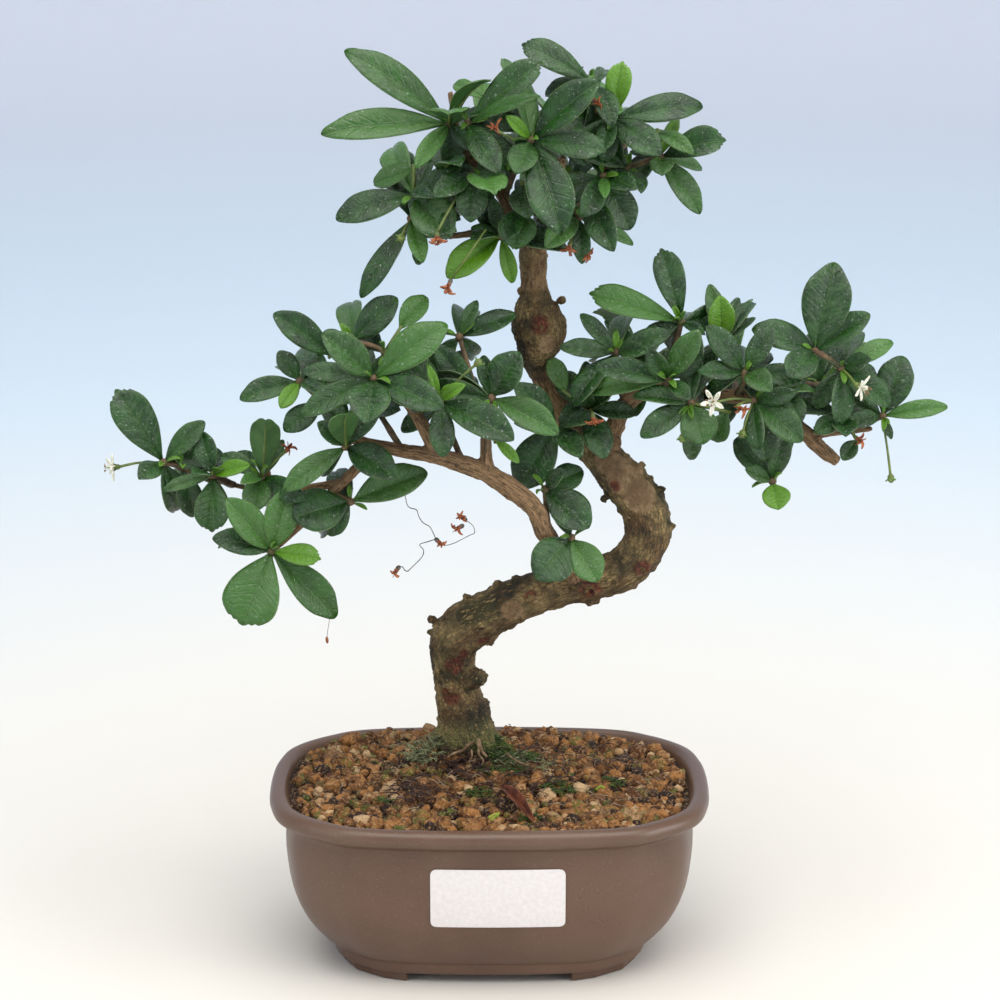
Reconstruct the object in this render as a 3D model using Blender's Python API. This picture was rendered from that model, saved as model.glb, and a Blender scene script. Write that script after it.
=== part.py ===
# Fukien tea bonsai in a glazed stoneware pot, modelled about the middle of the pot, front at -Y.
# Places in the tables are true places in millimetres: right of the pot's middle, behind it, above its feet.
import math
import random
from itertools import product

import bmesh
import bpy
from mathutils import Matrix, Vector, noise
from mathutils.bvhtree import BVHTree

MM = 0.001
GAP = 0.3

# Pot: a deep oblong with cut corners, a rolled lip and four corner feet
POT_WIDTH = 154.0
POT_DEPTH = 108.0
FOOT_HEIGHT = 6.0
FOOT_ROOT = 1.5
FOOT_TAPER = 0.97
FLOOR_UNDERSIDE = 8.0
FLOOR_TOP = 12.0
DRAIN_RADIUS = 5.0
DRAIN_SIDES = 16
# One quarter of the pot's plan, as shares of its half width and half depth, from the front's middle
POT_QUARTER = ((0.0, 1.0), (0.56, 0.955), (0.78, 0.82), (0.93, 0.61), (0.985, 0.36), (1.0, 0.12))
# The outside from the underside up: height, half width, half depth
POT_OUTSIDE = (
    (6.0, 55.5, 39.5),
    (10.5, 59.0, 42.0),
    (18.0, 65.0, 46.5),
    (28.0, 69.5, 49.5),
    (42.0, 71.5, 50.5),
    (53.0, 71.0, 50.0),
    (55.0, 74.5, 52.0),
    (58.0, 77.0, 54.0),
    (61.0, 76.2, 53.4),
    (62.0, 74.0, 51.4),
)
# The inside from the lip down
POT_INSIDE = (
    (61.5, 71.5, 48.6),
    (57.0, 69.5, 47.0),
    (42.0, 66.5, 45.5),
    (28.0, 64.5, 44.5),
    (18.0, 59.0, 40.5),
    (12.0, 52.0, 35.0),
)
# Front right foot in plan: an angle piece that follows the cut corner
FOOT_PLAN = (
    (29.0, -37.2),
    (38.0, -34.2),
    (48.0, -27.2),
    (53.0, -17.5),
    (54.0, -10.0),
    (46.0, -10.0),
    (44.0, -16.5),
    (37.0, -23.5),
    (29.0, -28.0),
)
LABEL_LEFT, LABEL_RIGHT = -20.0, 26.0
LABEL_LOW, LABEL_HIGH = 26.5, 48.0
LABEL_CORNER = 2.0
LABEL_THICKNESS = 0.5

# Soil: filled to the lip and mounded up to the trunk
SOIL_EDGE = 60.5
SOIL_CROWN = 67.0
SOIL_GRAIN = 2.4
GRAINS_PER_MM = 0.31
SOIL_COLUMNS, SOIL_ROWS = 21, 15
SOIL_JITTER = 1.6
MOUND_WIDTH, MOUND_DEPTH = 72.0, 52.0
ABOVE_SOIL = 90.0
HOLE_SIDES = 14
# The soil lies smooth within this distance of the trunk's foot
CALM_SOIL = 19.0

# Trunk: a buried upright foot, then a lobed flare over the soil, then the limbs below
TRUNK_FOOT = (-8.0, 18.0)
TRUNK_FOOT_RADIUS = 11.4
TRUNK_SUNK_TO = 44.0
TRUNK_SIDES = 12
# Height, radius and how deep the lobes between the roots are
TRUNK_FLARE = (
    (TRUNK_SUNK_TO, TRUNK_FOOT_RADIUS, 0.0),
    (SOIL_CROWN + 0.5, TRUNK_FOOT_RADIUS, 0.0),
    (SOIL_CROWN + 1.2, 12.6, 1.6),
    (SOIL_CROWN + 5.0, 11.2, 1.3),
    (SOIL_CROWN + 10.0, 9.0, 0.4),
)
# The bark keeps within a limb's radius: its mean share of it, and how much it swells
BARK_MEAN, BARK_SWELL = 0.965, 0.07
# A limb that starts thicker than this has seven sides, a thinner one five
STOUT_LIMB = 3.5
# A direction that no limb runs along
LIMB_SKEW = Vector((0.31, 0.95, 0.05))

# The dry leaf on the soil: foot, tip and width, then its roll in degrees, fold and arch
FALLEN_LEAF = (Vector((3.7, -13.0, 63.0)), Vector((15.6, -41.0, 60.5)), 8.0)
FALLEN_CURL = (25.0, 0.75, 0.07)

# Limbs of the one grown piece of wood: each point is right, behind, above, radius
LIMBS = {
    "trunk": (
        (-8, 18, 67, 11.4), (-9, 18, 76, 10.0), (-11, 17, 85, 8.4), (-12, 15, 95, 7.8),
        (-13, 12, 105, 8.3), (-10, 10, 113, 9.1), (-2, 8, 119, 8.7), (8, 6, 125, 7.8),
        (20, 5, 130, 7.5), (34, 4, 134, 7.5), (46, 3, 138, 7.8), (54, 2, 148, 8.0),
        (54, 2, 159, 8.3), (49, 3, 167, 8.1), (43, 5, 173, 7.4), (37, 7, 180, 6.5),
        (30, 9, 188, 5.5), (23, 10, 196, 4.5), (18, 11, 205, 3.8), (16, 11, 211, 5.8),
        (17, 11, 218, 8.9), (17, 11, 223, 9.4), (16, 11, 229, 7.9), (16, 11, 234, 4.8),
        (15, 11, 240, 4.4), (15, 11, 247, 4.9), (14, 11, 253, 4.4),
    ),
    "left_branch": (
        (32, 3, 137, 4.2), (25, -6, 145, 3.6), (19, -12, 156, 3.4), (15, -16, 166, 3.4),
        (8, -19, 173, 3.7), (0, -21, 179, 3.5), (-9, -22, 183, 3.2), (-19, -22, 186, 2.9),
        (-29, -20, 187, 2.5), (-37, -18, 188, 2.2), (-46, -16, 190, 1.7),
    ),
    "left_rise": (
        (-17, -22, 186, 2.7), (-20, -22, 192, 2.5), (-23, -22, 198, 2.3), (-27, -22, 204, 2.0),
        (-32, -22, 209, 1.5),
    ),
    "left_stub": (
        (0, -21, 180, 2.2), (-1, -20, 185, 2.2), (-1, -18, 192, 1.8),
    ),
    "left_low": (
        (-35, -18, 187, 2.2), (-44, -14, 180, 2.0), (-53, -12, 170, 1.7), (-64, -12, 159, 1.5),
        (-73, -13, 151, 1.5), (-77, -14, 151, 1.5),
    ),
    "left_far": (
        (-49, -13, 174, 1.7), (-61, -6, 170, 1.5), (-71, -4, 168, 1.5), (-78, -3, 168, 1.2),
        (-87, -3, 170, 0.9), (-95, -4, 172, 0.8),
    ),
    "stub_low": (
        (-77, -14, 151, 1.5), (-78, -15, 154, 1.5), (-76, -16, 159, 1.5),
    ),
    "stub_mid": (
        (-75, -3, 168, 1.5), (-76, -3, 175, 1.4), (-78, -3, 184, 1.4),
    ),
    "right_branch": (
        (40, 7, 182, 4.1), (43, 4, 189, 3.4), (46, 1, 197, 3.2), (51, -1, 202, 3.1),
        (59, -2, 204, 2.9), (72, -2, 203, 2.5), (84, -2, 201, 2.6), (94, -1, 202, 2.4),
        (102, 0, 206, 2.0), (110, 1, 210, 1.7),
    ),
    "right_low": (
        (89, -1, 201, 2.2), (98, 2, 195, 2.6), (108, 4, 187, 2.9), (114, 5, 181, 2.7),
        (120, 5, 176, 2.1),
    ),
    "right_twig": (
        (99, -1, 203, 1.4), (101, -6, 194, 1.2), (100, -8, 185, 1.1), (98, -8, 178, 1.1),
        (95, -8, 175, 1.0),
    ),
    "right_end": (
        (109, 4, 186, 1.9), (117, 3, 187, 1.5), (124, 2, 188, 1.2), (131, 1, 189, 0.9),
    ),
    "crown_left": (
        (14, 11, 251, 3.7), (9, 8, 259, 2.9), (5, 5, 268, 2.5), (0, 3, 278, 2.2),
        (-6, 2, 282, 2.0), (-10, 1, 288, 1.8), (-11, 1, 294, 1.2), (-13, 1, 305, 1.0),
    ),
    "crown_back": (
        (14, 11, 251, 3.4), (19, 20, 259, 2.6), (23, 24, 269, 2.1), (25, 25, 278, 1.5),
    ),
    "crown_right": (
        (15, 10, 249, 3.2), (24, 6, 258, 2.5), (32, 3, 266, 2.2), (37, 1, 275, 1.8),
        (39, 0, 286, 1.5), (40, -1, 295, 1.2),
    ),
    "crown_low": (
        (10, 7, 258, 2.0), (3, 3, 258, 1.7), (-6, 1, 257, 1.3), (-14, 0, 256, 1.0),
    ),
}
# Leafy sprays: where the twig leaves the wood, its hubs, how many hidden leaves fill it, its leaves.
# A leaf is its foot, its tip, its width and its kind: 0 plain, 1 toothed, 2 young, 3 young and toothed.
SPRAYS = {
    "crown_tip": (
        (-10, 1, 288),
        ((-13, -3, 295),),
        1,
        (
            ((-15, -3, 297), (-47, -5, 320), 12, 0),
            ((-18, -3, 291), (-55, -13, 294), 12, 0),
            ((-11, -3, 290), (-13, -25, 303), 14, 0),
            ((-19, -3, 291), (-24, -17, 283), 7, 0),
        ),
    ),
    "crown_top_left": (
        (-6, 2, 282),
        ((-7, -8, 296),),
        1,
        (
            ((-9, -8, 299), (17, -11, 317), 11, 1),
            ((-4, -8, 295), (16, -24, 308), 5, 0),
            ((-7, -8, 295), (3, -26, 283), 10, 0),
            ((0, 2, 302), (-12, 12, 306), 6, 1),
        ),
    ),
    "crown_front": (
        (5, 5, 268),
        ((9, -4, 280), (14, -12, 291),),
        1,
        (
            ((10, -12, 288), (9, -26, 283), 10, 0),
            ((15, -12, 292), (24, -28, 263), 17, 0),
            ((15, -12, 292), (36, -18, 312), 13, 0),
            ((20, -12, 290), (38, -24, 290), 10, 1),
            ((14, -12, 291), (6, -18, 300), 5, 2),
            ((16, -4, 297), (2, 6, 302), 7, 0),
        ),
    ),
    "crown_top": (
        (39, 0, 286),
        ((41, -4, 297), (35, -2, 308),),
        1,
        (
            ((34, -2, 310), (11, 2, 321), 10, 1),
            ((34, 2, 302), (23, 10, 290), 10, 0),
            ((40, -4, 299), (44, -6, 316), 9, 3),
            ((43, -4, 299), (71, -2, 301), 11, 0),
            ((43, -4, 297), (56, -20, 288), 11, 0),
            ((41, -4, 295), (37, -16, 288), 7, 0),
            ((36, -2, 308), (39, 12, 311), 5, 0),
        ),
    ),
    "crown_right": (
        (37, 1, 275),
        ((47, -2, 280), (57, -4, 284),),
        1,
        (
            ((58, -4, 285), (78, -10, 291), 12, 1),
            ((58, -4, 281), (70, -14, 267), 9, 0),
            ((56, -4, 292), (67, -18, 288), 6, 0),
            ((52, -4, 286), (57, -18, 281), 8, 0),
            ((57, -4, 282), (72, 6, 278), 5, 0),
            ((53, -4, 290), (63, 2, 296), 5, 2),
        ),
    ),
    "crown_lower_right": (
        (32, 3, 266),
        ((38, -8, 278), (30, -6, 264),),
        0,
        (
            ((38, -8, 282), (48, -22, 277), 8, 0),
            ((41, -8, 279), (47, -12, 261), 12, 0),
            ((33, -6, 271), (41, -18, 256), 11, 0),
            ((33, -8, 280), (38, -26, 275), 4, 0),
            ((29, -6, 263), (31, -14, 250), 7, 0),
            ((34, -6, 264), (49, 2, 253), 5, 0),
            ((24, -6, 265), (19, -20, 257), 9, 0),
        ),
    ),
    "crown_left_mid": (
        (0, 3, 278),
        ((-5, -8, 279),),
        1,
        (
            ((-7, -8, 281), (-18, -20, 274), 8, 0),
            ((-6, -8, 278), (-6, -18, 265), 11, 0),
        ),
    ),
    "crown_left_out": (
        (-6, 2, 282),
        ((-16, 0, 278), (-25, -4, 271),),
        1,
        (
            ((-25, -4, 280), (-39, 2, 274), 8, 0),
            ((-27, -4, 269), (-51, -8, 264), 11, 0),
            ((-20, -4, 272), (-13, -18, 260), 15, 0),
        ),
    ),
    "crown_left_low": (
        (-14, 0, 256),
        ((-22, -3, 260), (-26, -4, 263),),
        1,
        (
            ((-28, -4, 263), (-43, -12, 238), 8, 0),
            ((-28, -4, 257), (-35, 2, 245), 5, 0),
            ((-27, -4, 263), (-22, -16, 251), 7, 0),
            ((-16, -3, 256), (-24, 1, 246), 5, 0),
        ),
    ),
    "crown_under": (
        (9, 8, 259),
        ((10, -6, 267), (4, -4, 257),),
        0,
        (
            ((10, -6, 266), (9, -14, 255), 14, 0),
            ((11, -6, 275), (13, -16, 266), 11, 0),
            ((3, -4, 256), (-14, -12, 245), 12, 2),
            ((6, -4, 254), (8, -4, 241), 6, 2),
            ((2, -4, 260), (-6, -4, 260), 5, 0),
        ),
    ),
    "crown_back_top": (
        (25, 25, 278),
        ((23, 34, 287),),
        5,
        (
        ),
    ),
    "crown_back_middle": (
        (23, 24, 269),
        ((28, 44, 267),),
        5,
        (
        ),
    ),
    "crown_back_left": (
        (0, 3, 278),
        ((-2, 28, 282),),
        5,
        (
        ),
    ),
    "crown_back_right": (
        (37, 1, 275),
        ((47, 26, 284),),
        5,
        (
        ),
    ),
    "left_rosette": (
        (-32, -22, 209),
        ((-38, -32, 215),),
        0,
        (
            ((-41, -32, 216), (-54, -38, 232), 12, 0),
            ((-35, -32, 218), (-14, -34, 234), 13, 0),
            ((-38, -32, 215), (-40, -50, 205), 15, 0),
            ((-34, -32, 216), (-15, -46, 209), 12, 0),
            ((-42, -32, 216), (-62, -28, 217), 7, 0),
            ((-41, -32, 214), (-62, -36, 204), 9, 0),
        ),
    ),
    "left_top": (
        (-32, -22, 209),
        ((-35, -12, 219), (-46, -8, 222),),
        1,
        (
            ((-43, -8, 224), (-31, -8, 237), 11, 0),
            ((-30, -12, 227), (-21, -6, 237), 9, 0),
            ((-53, -8, 217), (-72, -10, 232), 11, 0),
        ),
    ),
    "left_top_right": (
        (-1, -18, 192),
        ((-4, -12, 203), (-10, -6, 223),),
        1,
        (
            ((-11, -6, 225), (-4, -4, 235), 5, 0),
            ((-9, -6, 226), (9, -2, 230), 8, 0),
            ((-2, -12, 207), (-18, -18, 223), 9, 0),
        ),
    ),
    "left_middle": (
        (-1, -20, 185),
        ((1, -26, 207),),
        1,
        (
            ((-1, -26, 209), (10, -28, 223), 13, 0),
            ((4, -26, 205), (23, -34, 197), 11, 0),
            ((2, -20, 191), (10, -24, 184), 4, 2),
        ),
    ),
    "left_front": (
        (-27, -22, 204),
        ((-16, -34, 208),),
        0,
        (
            ((-13, -34, 208), (8, -48, 199), 13, 0),
            ((-19, -34, 206), (-15, -42, 191), 9, 0),
            ((-12, -34, 204), (-1, -30, 195), 6, 0),
            ((-17, -34, 211), (-8, -40, 215), 5, 2),
            ((-18, -34, 212), (-20, -36, 221), 3, 2),
        ),
    ),
    "left_end": (
        (-46, -16, 190),
        ((-48, -22, 189),),
        1,
        (
            ((-43, -22, 187), (-31, -34, 182), 12, 0),
            ((-52, -22, 189), (-69, -26, 175), 9, 0),
            ((-51, -22, 191), (-57, -18, 198), 7, 0),
        ),
    ),
    "left_low_big": (
        (-53, -12, 170),
        ((-47, -16, 168),),
        0,
        (
            ((-45, -16, 166), (-21, -14, 178), 13, 0),
            ((-49, -16, 168), (-66, -24, 165), 16, 0),
        ),
    ),
    "inner_dark": (
        (31, 9, 190),
        ((23, -2, 191),),
        1,
        (
            ((21, -2, 188), (10, -6, 170), 15, 0),
            ((24, -2, 196), (9, -4, 206), 10, 0),
            ((26, -2, 194), (31, -16, 184), 9, 0),
        ),
    ),
    "inner_low": (
        (20, -12, 157),
        ((19, -8, 170),),
        0,
        (
            ((19, -8, 170), (34, -16, 159), 14, 0),
            ((19, -8, 173), (25, -16, 179), 6, 0),
            ((21, -8, 173), (32, -4, 176), 10, 0),
        ),
    ),
    "elbow": (
        (24, -4, 143),
        ((28, -12, 154),),
        0,
        (
            ((27, -12, 154), (16, -20, 143), 16, 0),
            ((29, -12, 153), (37, -20, 141), 12, 0),
            ((27, -12, 157), (22, -10, 165), 7, 0),
        ),
    ),
    "left_edge": (
        (-46, -16, 190),
        ((-56, -10, 201), (-64, -8, 208),),
        1,
        (
            ((-67, -8, 208), (-84, -12, 203), 9, 0),
            ((-63, -8, 206), (-70, -16, 201), 6, 2),
            ((-62, -8, 211), (-71, -6, 218), 7, 0),
            ((-55, -10, 199), (-69, -16, 193), 9, 0),
        ),
    ),
    "left_back": (
        (-9, -22, 184),
        ((-17, 2, 197),),
        5,
        (
        ),
    ),
    "left_back_end": (
        (-29, -20, 187),
        ((-40, 6, 197),),
        5,
        (
        ),
    ),
    "far_left_tip": (
        (-95, -4, 172),
        ((-105, -5, 177), (-111, -6, 179),),
        1,
        (
            ((-112, -6, 180), (-126, -8, 205), 14, 1),
            ((-110, -6, 180), (-97, -4, 193), 8, 0),
            ((-109, -6, 178), (-118, -18, 177), 8, 0),
        ),
    ),
    "far_left": (
        (-87, -3, 170),
        ((-94, -8, 175),),
        1,
        (
            ((-95, -8, 178), (-98, -6, 189), 9, 0),
            ((-98, -8, 172), (-111, -12, 171), 5, 0),
            ((-94, -8, 172), (-94, -18, 158), 13, 1),
            ((-93, -8, 173), (-81, -16, 181), 6, 2),
        ),
    ),
    "left_inner": (
        (-78, -3, 168),
        ((-77, -10, 175),),
        1,
        (
            ((-79, -10, 176), (-92, -4, 181), 7, 0),
            ((-77, -10, 172), (-80, -20, 166), 10, 0),
            ((-78, -10, 175), (-83, -24, 177), 5, 0),
            ((-74, -10, 176), (-70, -6, 187), 5, 0),
        ),
    ),
    "low_left": (
        (-73, -13, 151),
        ((-74, -18, 151),),
        0,
        (
            ((-76, -18, 153), (-88, -14, 171), 12, 0),
            ((-72, -18, 153), (-68, -20, 173), 12, 0),
            ((-75, -18, 150), (-84, -28, 128), 20, 1),
            ((-72, -18, 151), (-57, -26, 151), 8, 3),
            ((-70, -18, 148), (-52, -20, 128), 13, 0),
        ),
    ),
    "right_top_left": (
        (59, -2, 204),
        ((65, -2, 227),),
        1,
        (
            ((62, -2, 229), (34, -4, 238), 11, 1),
            ((67, -2, 229), (58, 0, 252), 11, 1),
            ((66, -2, 226), (72, -14, 226), 4, 0),
        ),
    ),
    "right_left": (
        (46, 1, 197),
        ((43, -4, 217),),
        1,
        (
            ((42, -4, 219), (31, -2, 230), 6, 0),
            ((41, -4, 218), (24, -8, 220), 7, 0),
            ((46, -4, 218), (61, -8, 225), 8, 0),
        ),
    ),
    "right_front_left": (
        (59, -2, 204),
        ((60, -14, 210),),
        0,
        (
            ((59, -14, 211), (35, -20, 216), 9, 0),
            ((62, -14, 212), (70, -18, 228), 9, 0),
            ((61, -14, 208), (67, -24, 206), 6, 0),
            ((54, -14, 209), (33, -10, 205), 8, 0),
        ),
    ),
    "right_middle": (
        (84, -2, 201),
        ((86, -12, 212), (79, 2, 219),),
        1,
        (
            ((85, -12, 213), (73, -16, 229), 9, 0),
            ((87, -12, 213), (95, -12, 228), 8, 0),
            ((88, -12, 212), (94, -24, 209), 9, 0),
            ((84, -12, 212), (70, -18, 214), 7, 0),
            ((76, 2, 224), (75, 8, 238), 7, 0),
            ((83, 2, 219), (78, -2, 236), 10, 2),
            ((81, 2, 225), (91, 10, 226), 3, 0),
            ((79, 2, 223), (85, 10, 233), 5, 0),
        ),
    ),
    "right_top": (
        (110, 1, 210),
        ((110, -6, 218), (119, -6, 212),),
        1,
        (
            ((109, -6, 220), (116, -4, 248), 18, 0),
            ((115, -6, 216), (128, -6, 231), 10, 0),
            ((108, -6, 217), (100, -20, 213), 11, 0),
            ((107, -6, 220), (98, -2, 227), 5, 0),
            ((119, -6, 214), (128, -12, 217), 7, 0),
            ((121, -6, 216), (137, 0, 220), 7, 0),
            ((121, -6, 209), (135, -16, 201), 10, 0),
        ),
    ),
    "right_end": (
        (124, 2, 188),
        ((134, -1, 194),),
        1,
        (
            ((136, -1, 198), (141, 3, 214), 13, 0),
            ((135, -1, 193), (156, -3, 198), 7, 0),
            ((133, -1, 190), (137, -5, 187), 3, 0),
        ),
    ),
    "right_low_front": (
        (89, -1, 201),
        ((89, -14, 203),),
        1,
        (
            ((90, -14, 204), (105, -22, 191), 11, 0),
            ((89, -14, 202), (94, -16, 182), 11, 0),
            ((100, -10, 205), (105, -16, 196), 8, 0),
        ),
    ),
    "right_low_left": (
        (72, -2, 203),
        ((68, -14, 202),),
        1,
        (
            ((62, -14, 204), (51, -20, 192), 9, 0),
            ((69, -14, 202), (72, -22, 190), 13, 0),
            ((67, -14, 199), (69, -8, 180), 7, 0),
            ((80, -14, 199), (76, -12, 188), 9, 0),
        ),
    ),
    "hanging": (
        (98, -8, 178),
        ((96, -10, 174),),
        0,
        (
            ((94, -10, 175), (87, -14, 179), 6, 0),
            ((97, -10, 174), (98, -18, 166), 10, 2),
        ),
    ),
    "right_low": (
        (117, 3, 187),
        ((120, -6, 195),),
        1,
        (
            ((118, -6, 199), (120, -18, 192), 9, 0),
            ((125, -6, 187), (120, -10, 181), 6, 0),
            ((115, -6, 196), (110, -14, 192), 7, 0),
        ),
    ),
    "trunk_right": (
        (39, 7, 183),
        ((34, 0, 196),),
        1,
        (
            ((29, 0, 199), (33, 4, 212), 7, 0),
            ((26, 0, 202), (21, 6, 213), 7, 0),
            ((35, 0, 194), (39, -14, 183), 10, 0),
            ((38, 0, 199), (45, -10, 211), 7, 0),
        ),
    ),
    "right_back_left": (
        (51, -1, 202),
        ((53, 24, 204),),
        5,
        (
        ),
    ),
    "right_back": (
        (84, -2, 201),
        ((85, 24, 202),),
        5,
        (
        ),
    ),
    "right_back_end": (
        (102, 0, 206),
        ((114, 22, 199),),
        5,
        (
        ),
    ),
}
# Open flowers and dried calyces: name, kind, spray, foot, the way it looks
FLOWERS = (
    ("white_flower_front", "white", "right_low_front", (76, -24, 205), (-0.5, -0.8, 0.2)),
    ("white_flower_far_left", "white", "far_left_tip", (-126, -8, 178), (-1, -0.3, 0.0)),
    ("pale_flower_right", "white", "right_top", (123, -16, 209), (0.7, -0.5, -0.3)),
    ("calyx_front", "calyx", "right_low_front", (83, -22, 203), (0.5, -0.8, -0.2)),
    ("calyx_trunk", "calyx", "trunk_right", (35, -14, 198), (0.1, -0.5, -0.9)),
    ("calyx_right_end", "calyx", "right_low", (124, -10, 189), (0.6, -0.8, -0.2)),
    ("calyx_crown_top", "calyx", "crown_top", (37, -12, 302), (-0.3, -0.8, 0.4)),
    ("calyx_crown_low", "calyx", "crown_lower_right", (27, -14, 257), (-0.2, -0.6, -0.8)),
    ("calyx_crown_left", "calyx", "crown_left_mid", (-17, -22, 262), (0.0, -0.4, -0.9)),
    ("calyx_left", "calyx", "left_inner", (-69, -10, 184), (0.4, -0.5, 0.7)),
)
# Green flower buds: the spray and the place of each
BUDS = (
    ("crown_left_low", (-29, -14, 259)),
    ("left_edge", (-53, -22, 193)),
    ("right_low_left", (65, -20, 192)),
    ("right_low_front", (85, -22, 194)),
    ("right_end", (137, -6, 174)),
    ("left_front", (-4, -36, 221)),
)
# The stub of an old branch low on the trunk
BURR = ((-9, 14, 94, 5.0), (-5, 9, 96, 4.2), (-2, 6, 98, 2.6))

# A leaf's edge points as shares: along the midrib, and out from it by the blade's width
PLAIN_SIDES = ((0.40, 0.36), (0.70, 0.50), (0.91, 0.32))
SMALL_SIDES = ((0.48, 0.46), (0.82, 0.43))
TOOTHED_SIDES = ((0.40, 0.36), (0.68, 0.50), (0.93, 0.40), (0.885, 0.22))
# The points along the midrib that those edge points are joined to
PLAIN_RIBS = (0.40, 0.70, 0.89)
SMALL_RIBS = (0.48, 0.82)
TOOTHED_RIBS = (0.40, 0.68, 0.85)
LEAF_THICKNESS = 0.7
LEAF_CLEARANCE = 0.6
# A plain leaf shorter than this has the small outline
SMALL_LEAF = 29.0
TOOTHED_KINDS = (1, 3)
HIDDEN_KIND = 4
# Most leaves show their face to the front and the light above
LEAF_FACE = Vector((0.0, -0.82, 0.57))
# What a leaf tries in turn to come clear of the others: shorter, deeper or nearer, rolled by degrees
SHRINK_STEPS = (1.0, 0.82)
DEPTH_STEPS = (0, 3, -3, 6, -6, 9, -9, 12, -12)
ROLL_STEPS = (0, 16, -16)
# Leaves on the sides that the front view hides
FILL_TRIES = 12
FILL_LENGTH = (20.0, 31.0)
FILL_LEAN = Vector((0.0, 0.55, 0.15))
TOOTHED_SHARE = 0.15
# Petal length and cup height
WHITE_FLOWER = (5.2, 2.2)
DRIED_CALYX = (3.6, 2.8)
PETAL_THICKNESS = 0.9
TWIG_RADIUS = 1.15
STALK_RADIUS = 0.75
PEDICEL_RADIUS = 0.5
# A leaf whose foot is nearer to its hub than this grows from the hub itself
STALK_FROM = 7.5
LEAF_ROOT = 0.6
BUD_RADIUS = 1.7
# Front outline that the hidden leaves keep within: middle x and z, half width, half height
PADS = {
    "crown": (12.0, 284.0, 54.0, 34.0),
    "left": (-34.0, 208.0, 46.0, 24.0),
    "low": (-74.0, 168.0, 30.0, 34.0),
    "right": (86.0, 214.0, 54.0, 26.0),
}
# Sprays whose first word isn't their pad's name
PAD_OF_SPRAY = {"far": "low", "inner": "left", "elbow": "left", "hanging": "right", "trunk": "right"}
# A direction that no twig or stalk runs along
SKEW = Vector((0.13, 0.71, 0.69))


def clear_scene():
    for obj in list(bpy.data.objects):
        bpy.data.objects.remove(obj, do_unlink=True)


def finish_material(name, colour, roughness, metallic=0.0):
    material = bpy.data.materials.new(name)
    material.use_nodes = True
    shader = material.node_tree.nodes["Principled BSDF"]
    shader.inputs["Base Color"].default_value = (*colour, 1.0)
    shader.inputs["Roughness"].default_value = roughness
    shader.inputs["Metallic"].default_value = metallic
    return material


def mesh_object(name, points, faces, material):
    """A named object from points in millimetres."""
    mesh = bpy.data.meshes.new(name)
    mesh.from_pydata([tuple(MM * value for value in point) for point in points], [], faces)
    mesh.validate()
    obj = bpy.data.objects.new(name, mesh)
    bpy.context.scene.collection.objects.link(obj)
    if material:
        mesh.materials.append(material)
    return obj


def face_outward(obj):
    shape = bmesh.new()
    shape.from_mesh(obj.data)
    bmesh.ops.recalc_face_normals(shape, faces=shape.faces)
    bmesh.ops.triangulate(shape, faces=shape.faces)
    shape.to_mesh(obj.data)
    shape.free()


def keep_boolean(obj, operation, other=None, collection=None):
    """Applies one Boolean to the object."""
    step = obj.modifiers.new("join", "BOOLEAN")
    step.operation = operation
    step.solver = "MANIFOLD"
    if collection:
        step.operand_type = "COLLECTION"
        step.collection = collection
    else:
        step.object = other
    graph = bpy.context.evaluated_depsgraph_get()
    mesh = bpy.data.meshes.new_from_object(obj.evaluated_get(graph))
    obj.modifiers.clear()
    obj.data = mesh


def join_pieces(name, shapes, material):
    """One body from closed shapes that run into each other; scraps that touch nothing are dropped."""
    first, rest = shapes[0], shapes[1:]
    obj = mesh_object(name, *first, material)
    face_outward(obj)
    if rest:
        group = bpy.data.collections.new(name + "_repeats")
        bpy.context.scene.collection.children.link(group)
        for points, faces in rest:
            piece = mesh_object(name + "_repeat", points, faces, None)
            face_outward(piece)
            bpy.context.scene.collection.objects.unlink(piece)
            group.objects.link(piece)
        keep_boolean(obj, "UNION", collection=group)
        for piece in list(group.objects):
            bpy.data.objects.remove(piece, do_unlink=True)
        bpy.data.collections.remove(group)
    scraps = drop_scraps(obj)
    if scraps:
        print(name, "scraps left out:", scraps)
    obj.data.materials.clear()
    obj.data.materials.append(material)
    return obj


def drop_scraps(obj):
    """Keeps the largest connected body of the mesh."""
    shape = bmesh.new()
    shape.from_mesh(obj.data)
    bodies = []
    seen = set()
    for start in shape.verts:
        if start in seen:
            continue
        body, front = [], [start]
        seen.add(start)
        while front:
            vertex = front.pop()
            body.append(vertex)
            for edge in vertex.link_edges:
                other = edge.other_vert(vertex)
                if other not in seen:
                    seen.add(other)
                    front.append(other)
        bodies.append(body)
    bodies.sort(key=len, reverse=True)
    for body in bodies[1:]:
        bmesh.ops.delete(shape, geom=body, context="VERTS")
    shape.to_mesh(obj.data)
    shape.free()
    return len(bodies) - 1


def pot_plan(half_width, half_depth):
    """The pot's outline at one height, anticlockwise from the front's middle."""
    right = [(x * half_width, -y * half_depth) for x, y in POT_QUARTER]
    right += [(x, -y) for x, y in reversed(right)]
    left = [(-x, y) for x, y in reversed(right[1:-1])]
    return right + left


def ring_at(level):
    height, half_width, half_depth = level
    return [(x, y, height) for x, y in pot_plan(half_width, half_depth)]


def loft(rings):
    """A closed body from rings of equal length, capped at both ends."""
    count = len(rings[0])
    points = [point for ring in rings for point in ring]
    faces = [tuple(reversed(range(count)))]
    for row in range(len(rings) - 1):
        for k in range(count):
            a, b = row * count + k, row * count + (k + 1) % count
            faces.append((a, b, b + count, a + count))
    last = (len(rings) - 1) * count
    faces.append(tuple(range(last, last + count)))
    return points, faces


def cylinder(centre, radius, low, high, sides):
    x, y = centre
    turn = [2 * math.pi * k / sides for k in range(sides)]
    rings = [[(x + radius * math.cos(a), y + radius * math.sin(a), z) for a in turn] for z in (low, high)]
    return loft(rings)


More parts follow.
